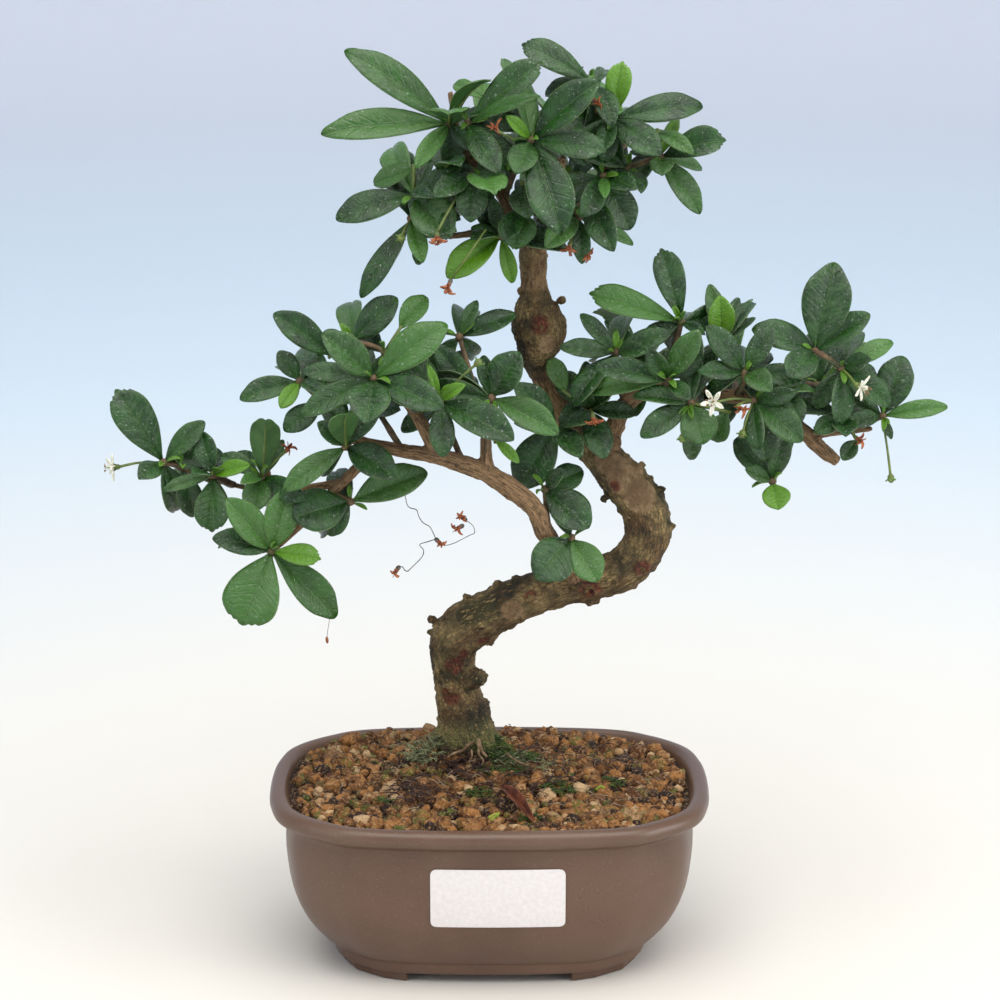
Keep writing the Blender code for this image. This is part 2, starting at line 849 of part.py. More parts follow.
def cut_with(obj, shape):
    cutter = mesh_object("cutter", *shape, None)
    face_outward(cutter)
    keep_boolean(obj, "DIFFERENCE", other=cutter)
    bpy.data.objects.remove(cutter, do_unlink=True)


def make_pot(material):
    rings = [ring_at(level) for level in POT_OUTSIDE + POT_INSIDE]
    shapes = [loft(rings)]
    for side_x, side_y in ((1, 1), (-1, 1), (1, -1), (-1, -1)):
        plan = [(x * side_x, y * side_y) for x, y in FOOT_PLAN]
        sole = [(x * FOOT_TAPER, y * FOOT_TAPER, 0.0) for x, y in plan]
        head = [(x, y, FOOT_HEIGHT + FOOT_ROOT) for x, y in plan]
        shapes.append(loft([sole, head]))
    pot = join_pieces("pot", shapes, material)
    cut_with(pot, cylinder((0.0, 0.0), DRAIN_RADIUS, 0.0, FLOOR_TOP + 1.0, DRAIN_SIDES))
    return pot


def soil_height(x, y):
    """The mound under the trunk, with the grains as noise."""
    from_foot = (x - TRUNK_FOOT[0], y - TRUNK_FOOT[1])
    reach = math.hypot(from_foot[0] / MOUND_WIDTH, from_foot[1] / MOUND_DEPTH)
    mound = SOIL_EDGE + (SOIL_CROWN - SOIL_EDGE) * max(0.0, 1.0 - reach) ** 0.8
    rough = SOIL_GRAIN * noise.noise(Vector((x, y, 10.0)) * GRAINS_PER_MM)
    if math.hypot(*from_foot) < CALM_SOIL:
        return min(mound + 0.3 * rough, SOIL_CROWN)
    return mound + rough


def make_soil(material):
    draw = random.Random(7)
    shape = bmesh.new()
    bmesh.ops.create_grid(shape, x_segments=SOIL_COLUMNS, y_segments=SOIL_ROWS, size=0.5)
    for vertex in shape.verts:
        x = vertex.co.x * POT_WIDTH + draw.uniform(-SOIL_JITTER, SOIL_JITTER)
        y = vertex.co.y * POT_DEPTH + draw.uniform(-SOIL_JITTER, SOIL_JITTER)
        vertex.co = (x * MM, y * MM, soil_height(x, y) * MM)
    grid_rim = [edge for edge in shape.edges if edge.is_boundary]
    skirt = bmesh.ops.extrude_edge_only(shape, edges=grid_rim)
    low_rim = [item for item in skirt["geom"] if isinstance(item, bmesh.types.BMEdge)]
    for item in skirt["geom"]:
        if isinstance(item, bmesh.types.BMVert):
            item.co.z = (FLOOR_TOP + GAP) * MM
    bmesh.ops.contextual_create(shape, geom=low_rim)
    bmesh.ops.recalc_face_normals(shape, faces=shape.faces)
    bmesh.ops.triangulate(shape, faces=shape.faces)
    mesh = bpy.data.meshes.new("soil")
    shape.to_mesh(mesh)
    shape.free()
    soil = bpy.data.objects.new("soil", mesh)
    bpy.context.scene.collection.objects.link(soil)
    mesh.materials.append(material)
    cavity = mesh_object("cavity", *cavity_shape(), None)
    face_outward(cavity)
    keep_boolean(soil, "INTERSECT", other=cavity)
    bpy.data.objects.remove(cavity, do_unlink=True)
    hole_radius = TRUNK_FOOT_RADIUS + GAP * 1.4
    cut_with(soil, cylinder(TRUNK_FOOT, hole_radius, TRUNK_SUNK_TO - GAP, ABOVE_SOIL, HOLE_SIDES))
    return soil


def cavity_shape():
    """The room inside the pot less the gap, run on above the lip and below the floor."""
    lip = POT_INSIDE[0]
    above = (ABOVE_SOIL, lip[1] + 1.0, lip[2] + 1.0)
    (high, wide, deep), (low, narrow, shallow) = POT_INSIDE[-2:]
    share = (low - FLOOR_UNDERSIDE) / (high - low)
    below = (FLOOR_UNDERSIDE, narrow - (wide - narrow) * share, shallow - (deep - shallow) * share)
    side_gap = GAP * 1.6
    return loft([ring_at((z, w - side_gap, d - side_gap)) for z, w, d in (above, *POT_INSIDE, below)])


def wall_front(height):
    """How far forward the pot's front wall stands at a height."""
    for (z0, _, d0), (z1, _, d1) in zip(POT_OUTSIDE, POT_OUTSIDE[1:]):
        if z0 <= height <= z1:
            return -(d0 + (d1 - d0) * (height - z0) / (z1 - z0))
    return -POT_DEPTH / 2


def make_label(material):
    """The bare label, which lies on the pot's front wall and follows it."""
    heights = [LABEL_LOW, LABEL_LOW + LABEL_CORNER]
    heights += [z for z, _, _ in POT_OUTSIDE if heights[1] < z < LABEL_HIGH - LABEL_CORNER]
    heights += [LABEL_HIGH - LABEL_CORNER, LABEL_HIGH]
    rows = []
    for height in heights:
        inset = LABEL_CORNER if height in (LABEL_LOW, LABEL_HIGH) else 0.0
        rows.append([(x, height) for x in (LABEL_LEFT + inset, 0.0, LABEL_RIGHT - inset)])
    crease = POT_QUARTER[1]
    points = []
    back = GAP * 1.3
    for rise in (back, back + LABEL_THICKNESS):
        for row in rows:
            for x, z in row:
                lean = 1.0 - (1.0 - crease[1]) * abs(x) / (crease[0] * POT_WIDTH / 2)
                points.append((x, wall_front(z) * lean - rise, z))
    count = 3 * len(rows)
    faces = []
    for row in range(len(rows) - 1):
        for k in (0, 1):
            a = row * 3 + k
            faces.append((a, a + 1, a + 4, a + 3))
            faces.append((a + count, a + 3 + count, a + 4 + count, a + 1 + count))
    rim = [0, 1, 2] + [3 * row + 2 for row in range(1, len(rows))]
    rim += [count - 2, count - 3] + [3 * row for row in range(len(rows) - 2, 0, -1)]
    for a, b in zip(rim, rim[1:] + rim[:1]):
        faces.append((b, a, a + count, b + count))
    obj = mesh_object("label", points, faces, material)
    face_outward(obj)
    return obj


def limb_frame(path, index):
    """The direction of a limb at one of its points and two directions across it."""
    before, after = path[max(index - 1, 0)], path[min(index + 1, len(path) - 1)]
    along = (Vector(after[:3]) - Vector(before[:3])).normalized()
    across = along.cross(LIMB_SKEW).normalized()
    return along, across, along.cross(across)


def bark_scale(angle, step, seed):
    """How far the bark swells at an angle round a limb and a step along it, never past the limb's radius."""
    place = Vector((1.7 * math.cos(angle), 1.7 * math.sin(angle), 0.55 * step + 9.0 * seed))
    return BARK_MEAN + BARK_SWELL * noise.noise(place)


def limb_tube(path, sides, seed, margin=0.0, rough=True):
    rings = []
    for index, (x, y, z, radius) in enumerate(path):
        _, across, up = limb_frame(path, index)
        ring = []
        for k in range(sides):
            angle = 2 * math.pi * k / sides
            reach = (radius + margin) * (bark_scale(angle, index, seed) if rough else 1.0)
            way = across * math.cos(angle) + up * math.sin(angle)
            ring.append(Vector((x, y, z)) + way * reach)
        rings.append(ring)
    return loft(rings)


def trunk_foot_rings():
    """The buried foot, plain and upright, and the flare over the soil."""
    x, y = TRUNK_FOOT
    rings = []
    for z, radius, lobes in TRUNK_FLARE:
        ring = []
        for k in range(TRUNK_SIDES):
            angle = 2 * math.pi * k / TRUNK_SIDES
            reach = radius + lobes * math.sin(3 * angle + 0.8) + 0.4 * lobes * math.cos(5 * angle)
            ring.append((x + reach * math.cos(angle), y + reach * math.sin(angle), z))
        rings.append(ring)
    return rings


def make_trunk(material):
    """All of the grown wood as one body."""
    shapes = [limb_tube(LIMBS["trunk"], TRUNK_SIDES, 0), loft(trunk_foot_rings())]
    for seed, (name, path) in enumerate(LIMBS.items()):
        if name != "trunk":
            shapes.append(limb_tube(path, 7 if path[0][3] > STOUT_LIMB else 5, seed))
    shapes.append(limb_tube(BURR, 6, len(LIMBS)))
    join_pieces("trunk", shapes, material)


def nearest_wood(point):
    """How far a point lies outside the nearest limb, and the way straight out of that limb."""
    least, away = math.inf, Vector()
    for path in LIMBS.values():
        for k, ((ax, ay, az, ra), (bx, by, bz, rb)) in enumerate(zip(path, path[1:])):
            a = Vector((ax, ay, az))
            run = Vector((bx, by, bz)) - a
            along = (point - a).dot(run) / run.length_squared
            share = min(1.0, max(0.0, along))
            out = point - a - run * share
            clear = out.length - (ra + (rb - ra) * share)
            if along > 1.0 and k == len(path) - 2:
                past_end = (along - 1.0) * run.length
                beside = max(0.0, (point - a - run * along).length - rb)
                clear = math.hypot(past_end, beside)
            if clear < least:
                least, away = clear, out.normalized()
    return least, away


def spray_hubs(name):
    """The spray's hubs, moved off the bark where they would touch it."""
    hubs = []
    for place in SPRAYS[name][1]:
        hub = Vector(place)
        for _ in range(20):
            clear, away = nearest_wood(hub)
            if clear > BUD_RADIUS + GAP + 0.1:
                break
            hub += away * 0.4
        hubs.append(hub)
    return hubs


def twig_start(root, hub):
    """Where a twig leaves the bark: the last place on its way in where its end's rim keeps the gap."""
    run = root - hub
    along = run.normalized()
    across = along.cross(SKEW).normalized() * TWIG_RADIUS
    up = along.cross(across)
    rim = (Vector(), across, -across, up, -up)
    steps = max(2, int(run.length / 0.1))
    best = hub
    for k in range(steps + 1):
        place = hub + run * (k / steps)
        if min(nearest_wood(place + side)[0] for side in rim) < GAP:
            break
        best = place
    return best


def straight_tube(start, end, start_radius, end_radius, sides):
    """A closed prism between two places."""
    along = (end - start).normalized()
    across = along.cross(SKEW).normalized()
    up = along.cross(across)
    rings = []
    for place, radius in ((start, start_radius), (end, end_radius)):
        turn = [2 * math.pi * k / sides for k in range(sides)]
        rings.append([place + (across * math.cos(a) + up * math.sin(a)) * radius for a in turn])
    return loft(rings)


def bud_shape(centre, radius, along, stretch=1.0):
    """A small eight-sided bud."""
    axis = along.normalized()
    across = axis.cross(Vector((0.27, 0.11, 0.95))).normalized()
    up = axis.cross(across)
    corners = [centre + axis * radius * stretch, centre - axis * radius * stretch]
    corners += [centre + way * radius for way in (across, up, -across, -up)]
    faces = []
    for k in range(4):
        a, b = 2 + k, 2 + (k + 1) % 4
        faces += [(0, a, b), (1, b, a)]
    return corners, faces


def leaf_outline(leaf):
    """The edge points and midrib points of this leaf's kind."""
    if leaf["kind"] in TOOTHED_KINDS:
        return TOOTHED_SIDES, TOOTHED_RIBS
    if (leaf["tip"] - leaf["base"]).length < SMALL_LEAF or leaf["kind"] == HIDDEN_KIND:
        return SMALL_SIDES, SMALL_RIBS
    return PLAIN_SIDES, PLAIN_RIBS


def leaf_shape(leaf, thickness, wider=0.0, outer_only=False):
    """A folded, arched blade: both faces are split into triangles alike, with a rim between them."""
    sides, ribs = leaf_outline(leaf)
    spots = [(0.0, 0.0, 0)] + [(t, 0.0, 0) for t in ribs] + [(1.0, 0.0, 0)]
    tip_at = len(spots) - 1
    right_at = len(spots)
    spots += [(t, share, 1) for t, share in sides]
    left_at = len(spots)
    spots += [(t, share, -1) for t, share in sides]
    top = [blade_place(leaf, spot, wider) + blade_offset(leaf, spot[0], thickness) for spot in spots]
    bottom = [blade_place(leaf, spot, wider) - blade_offset(leaf, spot[0], thickness) for spot in spots]
    count = len(spots)
    halves = blade_half(right_at, len(sides), len(ribs))
    halves += [tuple(reversed(face)) for face in blade_half(left_at, len(sides), len(ribs))]
    if outer_only:
        halves = [face for face in halves if 0 not in face]
    faces = halves + [tuple(v + count for v in reversed(face)) for face in halves]
    if not outer_only:
        rim = [0] + list(range(right_at, left_at)) + [tip_at] + list(range(count - 1, left_at - 1, -1))
        for a, b in zip(rim, rim[1:] + rim[:1]):
            faces += [(b, a, a + count), (b, a + count, b + count)]
    return top + bottom, faces


def blade_place(leaf, spot, wider):
    """Where a share along the midrib and a share of the width lie on the folded, arched blade."""
    t, share, hand = spot
    run = leaf["tip"] - leaf["base"]
    side = run.normalized().cross(leaf["normal"])
    reach = share * leaf["width"] + (wider if 0.0 < t < 1.0 and share > 0.0 else 0.0)
    lift = reach * math.sin(leaf["fold"]) + leaf["arch"] * run.length * 4.0 * t * (1.0 - t)
    return leaf["base"] + run * t + side * hand * reach * math.cos(leaf["fold"]) + leaf["normal"] * lift


def blade_offset(leaf, t, thickness):
    """From the blade's middle to its upper face, square to the arched midrib."""
    along = (leaf["tip"] - leaf["base"]).normalized()
    slope = leaf["arch"] * 4.0 * (1.0 - 2.0 * t)
    return (leaf["normal"] - along * slope).normalized() * thickness / 2


def blade_half(edge_at, edge_count, rib_count):
    """The triangles between the midrib and one edge, from the foot to the tip."""
    tip_at = rib_count + 1
    half = [(0, edge_at, 1)]
    for k in range(1, rib_count):
        half += [(k, edge_at + k - 1, edge_at + k), (k, edge_at + k, k + 1)]
    if edge_count > rib_count:
        last = rib_count - 1
        half[-1] = (last, edge_at + last, edge_at + rib_count)
        half += [(last, edge_at + rib_count, rib_count), (rib_count, edge_at + rib_count, tip_at)]
    else:
        half.append((rib_count, edge_at + rib_count - 1, tip_at))
    return half


def tree_of(shape):
    points, faces = shape
    return BVHTree.FromPolygons([tuple(point) for point in points], faces)


class Thicket:
    """What is already placed, so that a new leaf can be bent clear of it."""

    def __init__(self):
        self.things = []

    def add(self, owner, shape, outer_shape=None):
        points = shape[0]
        centre = sum((Vector(point) for point in points), Vector()) / len(points)
        reach = max((Vector(point) - centre).length for point in points)
        outer = tree_of(outer_shape) if outer_shape else None
        self.things.append((owner, centre, reach, tree_of(shape), outer))

    def clear(self, owner, leaf, own_too=True):
        full = leaf_shape(leaf, LEAF_THICKNESS + LEAF_CLEARANCE, LEAF_CLEARANCE / 2)
        outer = leaf_shape(leaf, LEAF_THICKNESS + LEAF_CLEARANCE, LEAF_CLEARANCE / 2, outer_only=True)
        centre = (leaf["base"] + leaf["tip"]) / 2
        reach = (leaf["tip"] - leaf["base"]).length / 2 + leaf["width"] / 2
        full_tree, outer_tree = tree_of(full), tree_of(outer)
        for other, other_centre, other_reach, other_tree, other_outer in self.things:
            if (other_centre - centre).length > reach + other_reach + 1.0:
                continue
            if other != owner:
                if full_tree.overlap(other_tree):
                    return False
            elif own_too and other_outer and outer_tree.overlap(other_outer):
                return False
        return True

    def grow(self, owner, leaf):
        thick = LEAF_THICKNESS + LEAF_CLEARANCE
        self.add(owner, leaf_shape(leaf, thick, LEAF_CLEARANCE / 2), leaf_shape(leaf, thick, 0.0, True))


def upright(along, face, roll):
    """The blade's face direction, square to its length, rolled by some degrees."""
    flat = face - along * face.dot(along)
    if flat.length < 0.15:
        flat = Vector((0.0, 0.3, 1.0)) - along * along.z
    return Matrix.Rotation(math.radians(roll), 3, along) @ flat.normalized()


def new_leaf(base, tip, width, kind, face, roll, fold, arch):
    normal = upright((tip - base).normalized(), face, roll)
    leaf = {"base": base, "tip": tip, "width": width, "kind": kind}
    return {**leaf, "normal": normal, "fold": fold, "arch": arch}


def settle_leaf(thicket, spray, row, draw):
    """A leaf that the front view shows: its tip may go deeper or nearer, and the blade may roll, to come clear."""
    base, tip, width, kind = Vector(row[0]), Vector(row[1]), row[2], row[3]
    fold, arch = draw.uniform(0.10, 0.30), draw.uniform(0.03, 0.09)
    hub = min(spray_hubs(spray), key=lambda spot: (spot - base).length)
    if (base - hub).length < STALK_FROM:
        base = hub + (tip - hub).normalized() * LEAF_ROOT
    for own_too, shrink, depth, roll in product((True, False), SHRINK_STEPS, DEPTH_STEPS, ROLL_STEPS):
        moved = base + (tip + Vector((0.0, depth, 0.0)) - base) * shrink
        leaf = new_leaf(base, moved, width * shrink, kind, LEAF_FACE, roll, fold, arch)
        if thicket.clear(spray, leaf, own_too):
            return leaf
    return None


def pad_of(spray):
    first = spray.split("_")[0]
    return PADS[PAD_OF_SPRAY.get(first, first)]


def inside_pad(spray, place):
    x, z, half_width, half_height = pad_of(spray)
    return ((place.x - x) / half_width) ** 2 + ((place.z - z) / half_height) ** 2 < 1.0


def settle_fill(thicket, spray, hub, outward, draw):
    """A leaf on the sides that the front view hides: drawn until one comes clear."""
    for _ in range(FILL_TRIES):
        way = Vector([draw.gauss(0.0, 1.0) for _ in range(3)]).normalized() + outward * 0.8
        way = (way + FILL_LEAN).normalized()
        length = draw.uniform(*FILL_LENGTH)
        base = hub + way * LEAF_ROOT
        tip = base + way * length
        face = Vector((0.0, 0.25, 1.0)) + outward * 0.4
        kind = TOOTHED_KINDS[0] if draw.random() < TOOTHED_SHARE else HIDDEN_KIND
        width = length * draw.uniform(0.38, 0.46)
        roll, fold, arch = draw.uniform(-20, 20), draw.uniform(0.10, 0.28), draw.uniform(0.05, 0.12)
        leaf = new_leaf(base, tip, width, kind, face, roll, fold, arch)
        if inside_pad(spray, tip) and thicket.clear(spray, leaf):
            return leaf
    return None


def spray_wood(name):
    """The twig, its hubs, and a stalk to each leaf, flower or bud that stands off a hub."""
    root, _, _, rows = SPRAYS[name]
    hubs = spray_hubs(name)
    start = twig_start(Vector(root), hubs[0])
    shapes = [straight_tube(start, hubs[0], TWIG_RADIUS, TWIG_RADIUS * 0.9, 4)]
    for a, b in zip(hubs, hubs[1:]):
        shapes.append(straight_tube(a, b, TWIG_RADIUS * 0.9, TWIG_RADIUS * 0.8, 4))
    aim = (hubs[0] - start).normalized()
    shapes += [bud_shape(hub, BUD_RADIUS, aim) for hub in hubs]
    for base in [Vector(row[0]) for row in rows]:
        hub = min(hubs, key=lambda place: (place - base).length)
        run = base - hub
        if run.length > STALK_FROM:
            shapes.append(straight_tube(hub, base + run.normalized() * 1.2, STALK_RADIUS, STALK_RADIUS, 3))
    for place, along in stalk_ends(name):
        hub = min(hubs, key=lambda spot: (spot - place).length)
        shapes.append(straight_tube(hub, place, PEDICEL_RADIUS, PEDICEL_RADIUS, 3))
        if along is None:
            shapes.append(bud_shape(place, 1.5, place - hub, 1.6))
    return hubs, shapes


def stalk_ends(name):
    """Where this spray's flower stalks end: just under a flower, or in a green bud."""
    ends = []
    for _, _, spray, place, way in FLOWERS:
        if spray == name:
            along = Vector(way).normalized()
            ends.append((Vector(place) - along * (GAP + 0.2), along))
    ends += [(Vector(place), None) for spray, place in BUDS if spray == name]
    return ends


def flower_shapes(kind, place, way):
    """A small cup with five lobes; its foot stands over the stalk's end."""
    along = Vector(way).normalized()
    across = along.cross(Vector((0.2, 0.1, 0.97))).normalized()
    up = along.cross(across)
    reach, cup = WHITE_FLOWER if kind == "white" else DRIED_CALYX
    mouth = Vector(place) + along * cup
    shapes = [straight_tube(Vector(place), mouth, 0.7, 1.5, 4)]
    for k in range(5):
        angle = 2 * math.pi * k / 5
        out = across * math.cos(angle) + up * math.sin(angle)
        lean = out * 0.94 + along * 0.34 if kind == "white" else out * 0.72 + along * 0.7
        normal = lean.normalized().cross(along).cross(lean).normalized()
        base = mouth - along * 0.5
        shapes.append(petal_shape(base, base + lean.normalized() * reach, normal, reach * 0.42))
    return shapes


def petal_shape(base, tip, normal, width):
    """A lance-shaped petal with a ridge down the middle of both faces."""
    middle = base.lerp(tip, 0.5)
    side = (tip - base).normalized().cross(normal) * width / 2
    ridge = normal * PETAL_THICKNESS / 2
    points = [base, tip, middle + side, middle + ridge, middle - side, middle - ridge]
    faces = []
    for k in range(4):
        a, b = 2 + k, 2 + (k + 1) % 4
        faces += [(1, a, b), (0, b, a)]
    return points, faces


def obstacles():
    """The limbs, a little fatter than they are, as things that no leaf may touch."""
    thicket = Thicket()
    for seed, path in enumerate(LIMBS.values()):
        for k in range(0, len(path) - 1, 3):
            thicket.add("trunk", limb_tube(path[k:k + 4], 8, seed, 0.6, rough=False))
    return thicket


def place_leaves(thicket):
    """Every spray's wood and leaves: first what the front shows, then what fills the other sides."""
    woods = {name: spray_wood(name) for name in SPRAYS}
    for name, (_, shapes) in woods.items():
        for shape in shapes:
            thicket.add(name, shape)
    for name, kind, _, place, way in FLOWERS:
        for shape in flower_shapes(kind, place, way):
            thicket.add(name, shape)
    leaves = {name: [] for name in SPRAYS}
    draw = random.Random(21)
    for name, (_, _, _, rows) in SPRAYS.items():
        for row in rows:
            leaf = settle_leaf(thicket, name, row, draw)
            if leaf:
                leaves[name].append(leaf)
                thicket.grow(name, leaf)
    for name, (root, _, fill, _) in SPRAYS.items():
        hubs = woods[name][0]
        for k in range(fill):
            hub = hubs[-1 - k % len(hubs)]
            outward = (hub - Vector(root)).normalized()
            leaf = settle_fill(thicket, name, hub, outward, draw)
            if leaf:
                leaves[name].append(leaf)
                thicket.grow(name, leaf)
    return woods, leaves


def make_sprays(material):
    woods, leaves = place_leaves(obstacles())
    for name in SPRAYS:
        blades = [leaf_shape(leaf, LEAF_THICKNESS) for leaf in leaves[name]]
        join_pieces(name, woods[name][1] + blades, material)
    print("leaves", sum(len(group) for group in leaves.values()))


def make_fallen_leaf(material, soil):
    """A dry, rolled leaf on the grains, raised until it has come clear of them."""
    grains = [vertex.co / MM for vertex in soil.data.vertices]
    ground = BVHTree.FromPolygons(grains, [tuple(face.vertices) for face in soil.data.polygons])
    leaf = new_leaf(*FALLEN_LEAF, 0, Vector((0.0, 0.0, 1.0)), *FALLEN_CURL)
    while ground.overlap(tree_of(leaf_shape(leaf, LEAF_THICKNESS + 2 * GAP, GAP))):
        leaf["base"].z += 0.1
        leaf["tip"].z += 0.1
    join_pieces("fallen_leaf", [leaf_shape(leaf, LEAF_THICKNESS)], material)


def make_flowers(white, dried):
    for name, kind, _, place, way in FLOWERS:
        join_pieces(name, flower_shapes(kind, place, way), white if kind == "white" else dried)


def stand_on_origin():
    """Moves everything so that the whole stands on z = 0 with its box's middle over the origin."""
    corners = [v.co for obj in bpy.data.objects if obj.type == "MESH" for v in obj.data.vertices]
    middle_x = (min(c.x for c in corners) + max(c.x for c in corners)) / 2
    middle_y = (min(c.y for c in corners) + max(c.y for c in corners)) / 2
    low = min(c.z for c in corners)
    for obj in bpy.data.objects:
        if obj.type == "MESH":
            obj.data.transform(Matrix.Translation((-middle_x, -middle_y, -low)))


def main():
    clear_scene()
    stoneware = finish_material("stoneware", (0.105, 0.078, 0.066), 0.45)
    grains = finish_material("fired_clay_soil", (0.30, 0.15, 0.06), 0.95)
    bark = finish_material("bark", (0.28, 0.18, 0.11), 0.9)
    foliage = finish_material("foliage", (0.028, 0.095, 0.03), 0.3)
    white = finish_material("white_petal", (0.85, 0.82, 0.74), 0.6)
    dried = finish_material("dried_calyx", (0.45, 0.14, 0.05), 0.8)
    paper = finish_material("paper", (0.80, 0.79, 0.80), 0.5)
    dry_leaf = finish_material("dry_leaf", (0.20, 0.055, 0.02), 0.6)
    make_pot(stoneware)
    make_label(paper)
    soil = make_soil(grains)
    make_trunk(bark)
    make_sprays(foliage)
    make_fallen_leaf(dry_leaf, soil)
    make_flowers(white, dried)
    stand_on_origin()


main()
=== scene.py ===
# %% [markdown]
# # A fukien tea bonsai in its pot
# The solids of the tree are loaded first. They settle where everything is: the pot, the soil,
# the one grown piece of wood and each leafy spray. This lesson dresses them, so every piece below
# is placed by the same numbers that the solids were made from, in millimetres from the pot's middle.

# %% Load the solids
import math
import random
from itertools import product

import bmesh
import bpy
from mathutils import Matrix, Vector, noise
from mathutils.kdtree import KDTree


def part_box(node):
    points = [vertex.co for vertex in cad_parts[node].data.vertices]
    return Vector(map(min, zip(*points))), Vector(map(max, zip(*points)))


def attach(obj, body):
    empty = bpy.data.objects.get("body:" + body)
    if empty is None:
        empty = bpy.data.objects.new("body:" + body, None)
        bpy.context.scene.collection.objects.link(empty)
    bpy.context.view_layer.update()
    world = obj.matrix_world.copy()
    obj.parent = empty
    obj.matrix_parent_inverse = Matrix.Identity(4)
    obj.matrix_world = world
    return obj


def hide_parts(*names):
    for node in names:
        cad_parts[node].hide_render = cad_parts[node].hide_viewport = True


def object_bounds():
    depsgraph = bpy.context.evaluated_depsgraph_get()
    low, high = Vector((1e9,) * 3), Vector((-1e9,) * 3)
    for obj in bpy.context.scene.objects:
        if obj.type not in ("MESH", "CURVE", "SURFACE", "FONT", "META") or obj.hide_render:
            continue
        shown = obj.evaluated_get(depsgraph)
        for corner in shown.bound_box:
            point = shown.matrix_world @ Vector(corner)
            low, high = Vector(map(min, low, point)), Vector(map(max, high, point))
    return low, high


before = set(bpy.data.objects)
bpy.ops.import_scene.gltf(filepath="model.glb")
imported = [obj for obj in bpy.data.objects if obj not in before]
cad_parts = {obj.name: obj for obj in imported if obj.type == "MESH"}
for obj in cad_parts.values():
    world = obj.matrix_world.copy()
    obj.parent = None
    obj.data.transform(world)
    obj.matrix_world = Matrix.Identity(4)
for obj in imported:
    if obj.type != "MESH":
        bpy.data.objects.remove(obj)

MM = 0.001
CAD_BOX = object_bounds()
pot_low, pot_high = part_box("pot")
POT_MIDDLE = Vector(((pot_low.x + pot_high.x) / 2, (pot_low.y + pot_high.y) / 2, 0.0))
TO_ROW = Matrix.Translation(POT_MIDDLE) @ Matrix.Diagonal((MM, MM, MM, 1.0))
print("pot's middle in the row, mm:", [round(value / MM, 2) for value in POT_MIDDLE])

# %% [markdown]
# ## Camera
# The tree was seen from a little above the pot, through a long lens, so its lines hardly converge.
# A camera 1.1 m away with a 120 mm lens gives the same view.

# %% Camera
CAMERA_PLACE = Vector((3.7, -1100.0, 487.0))
CAMERA_DOWN = 16.37
camera_data = bpy.data.cameras.new("camera")
camera_data.lens = 120.06
camera_data.sensor_width = 36.0
camera_data.clip_start = 0.01
camera = bpy.data.objects.new("camera", camera_data)
bpy.context.scene.collection.objects.link(camera)
camera.location = TO_ROW @ CAMERA_PLACE
camera.rotation_euler = (math.radians(90.0 - CAMERA_DOWN), 0.0, 0.0)
bpy.context.scene.camera = camera

# %% [markdown]
# ## Small helpers for materials
# A finish on a plant is never one colour. These helpers keep each node tree short to read: one adds
# a node and fills its inputs by value or by link, one blends two colours, and one turns a noise
# value into a mask with a soft edge.

# %% Helpers for node trees
def add_node(tree, kind, inputs=None, **settings):
    """One shader node, with its inputs filled by a value or linked to another node's output."""
    made = tree.nodes.new("ShaderNode" + kind)
    for name, value in settings.items():
        setattr(made, name, value)
    for name, value in (inputs or {}).items():
        if isinstance(value, bpy.types.NodeSocket):
            tree.links.new(value, made.inputs[name])
        else:
            made.inputs[name].default_value = value
    return made


def blend(tree, share, first, second):
    """The first colour where share is 0 and the second where it is 1."""
    made = tree.nodes.new("ShaderNodeMix")
    made.data_type = "RGBA"
    for index, value in ((0, share), (6, first), (7, second)):
        if isinstance(value, bpy.types.NodeSocket):
            tree.links.new(value, made.inputs[index])
        elif index == 0:
            made.inputs[index].default_value = value
        else:
            made.inputs[index].default_value = (*value, 1.0)
    return made.outputs[2]


def between(tree, value, low, high, start=0.0, end=1.0):
    """A value read as start below low, end above high, and smoothly between them."""
    made = add_node(tree, "MapRange", {0: value, 1: low, 2: high, 3: start, 4: end})
    made.interpolation_type = "SMOOTHSTEP"
    return made.outputs[0]


def math_node(tree, operation, first, second=0.0):
    return add_node(tree, "Math", {0: first, 1: second}, operation=operation).outputs[0]


def grain(tree, place, scale, detail=4.0, roughness=0.55):
    """Noise of a given number of spots per metre, or per unit of the place it reads."""
    inputs = {"Vector": place, "Scale": scale, "Detail": detail, "Roughness": roughness}
    return add_node(tree, "TexNoise", inputs).outputs["Fac"]


def kept_numbers(tree, name):
    """The three numbers that a mesh keeps for each corner under this name."""
    kept = add_node(tree, "Attribute", attribute_name=name).outputs["Vector"]
    return add_node(tree, "SeparateXYZ", {0: kept})


def new_finish(name, roughness):
    """A material, its tree and its shader."""
    material = bpy.data.materials.new(name)
    material.use_nodes = True
    shader = material.node_tree.nodes["Principled BSDF"]
    shader.inputs["Roughness"].default_value = roughness
    return material, material.node_tree, shader


def raise_surface(tree, shader, height, strength, depth):
    """Relief from a height, its depth in metres."""
    bump = add_node(tree, "Bump", {"Height": height, "Strength": strength, "Distance": depth})
    tree.links.new(bump.outputs["Normal"], shader.inputs["Normal"])

# %% [markdown]
# ## Floor and light
# The tree stands on a pale floor that curves up into a wall all round it, so no edge shows from any side.
# It is one profile spun round the pot's middle, wide enough to walk round the tree. Its colour is painted
# light: warm near the tree and pale blue farther out, as the lamps tint the backdrop.
# The light is soft and comes mostly from above and the front: one very large lamp over the tree, a
# weaker one on each side, one for the wall behind and a dim sky. A large lamp gives the leaves their
# broad sheen, and a dim sky leaves the shade between them dark.

# %% Floor
WALL_RADIUS, WALL_CURVE, WALL_TOP = 2.6, 0.9, 3.2
FLOOR_STEPS, CURVE_STEPS = 64, 12


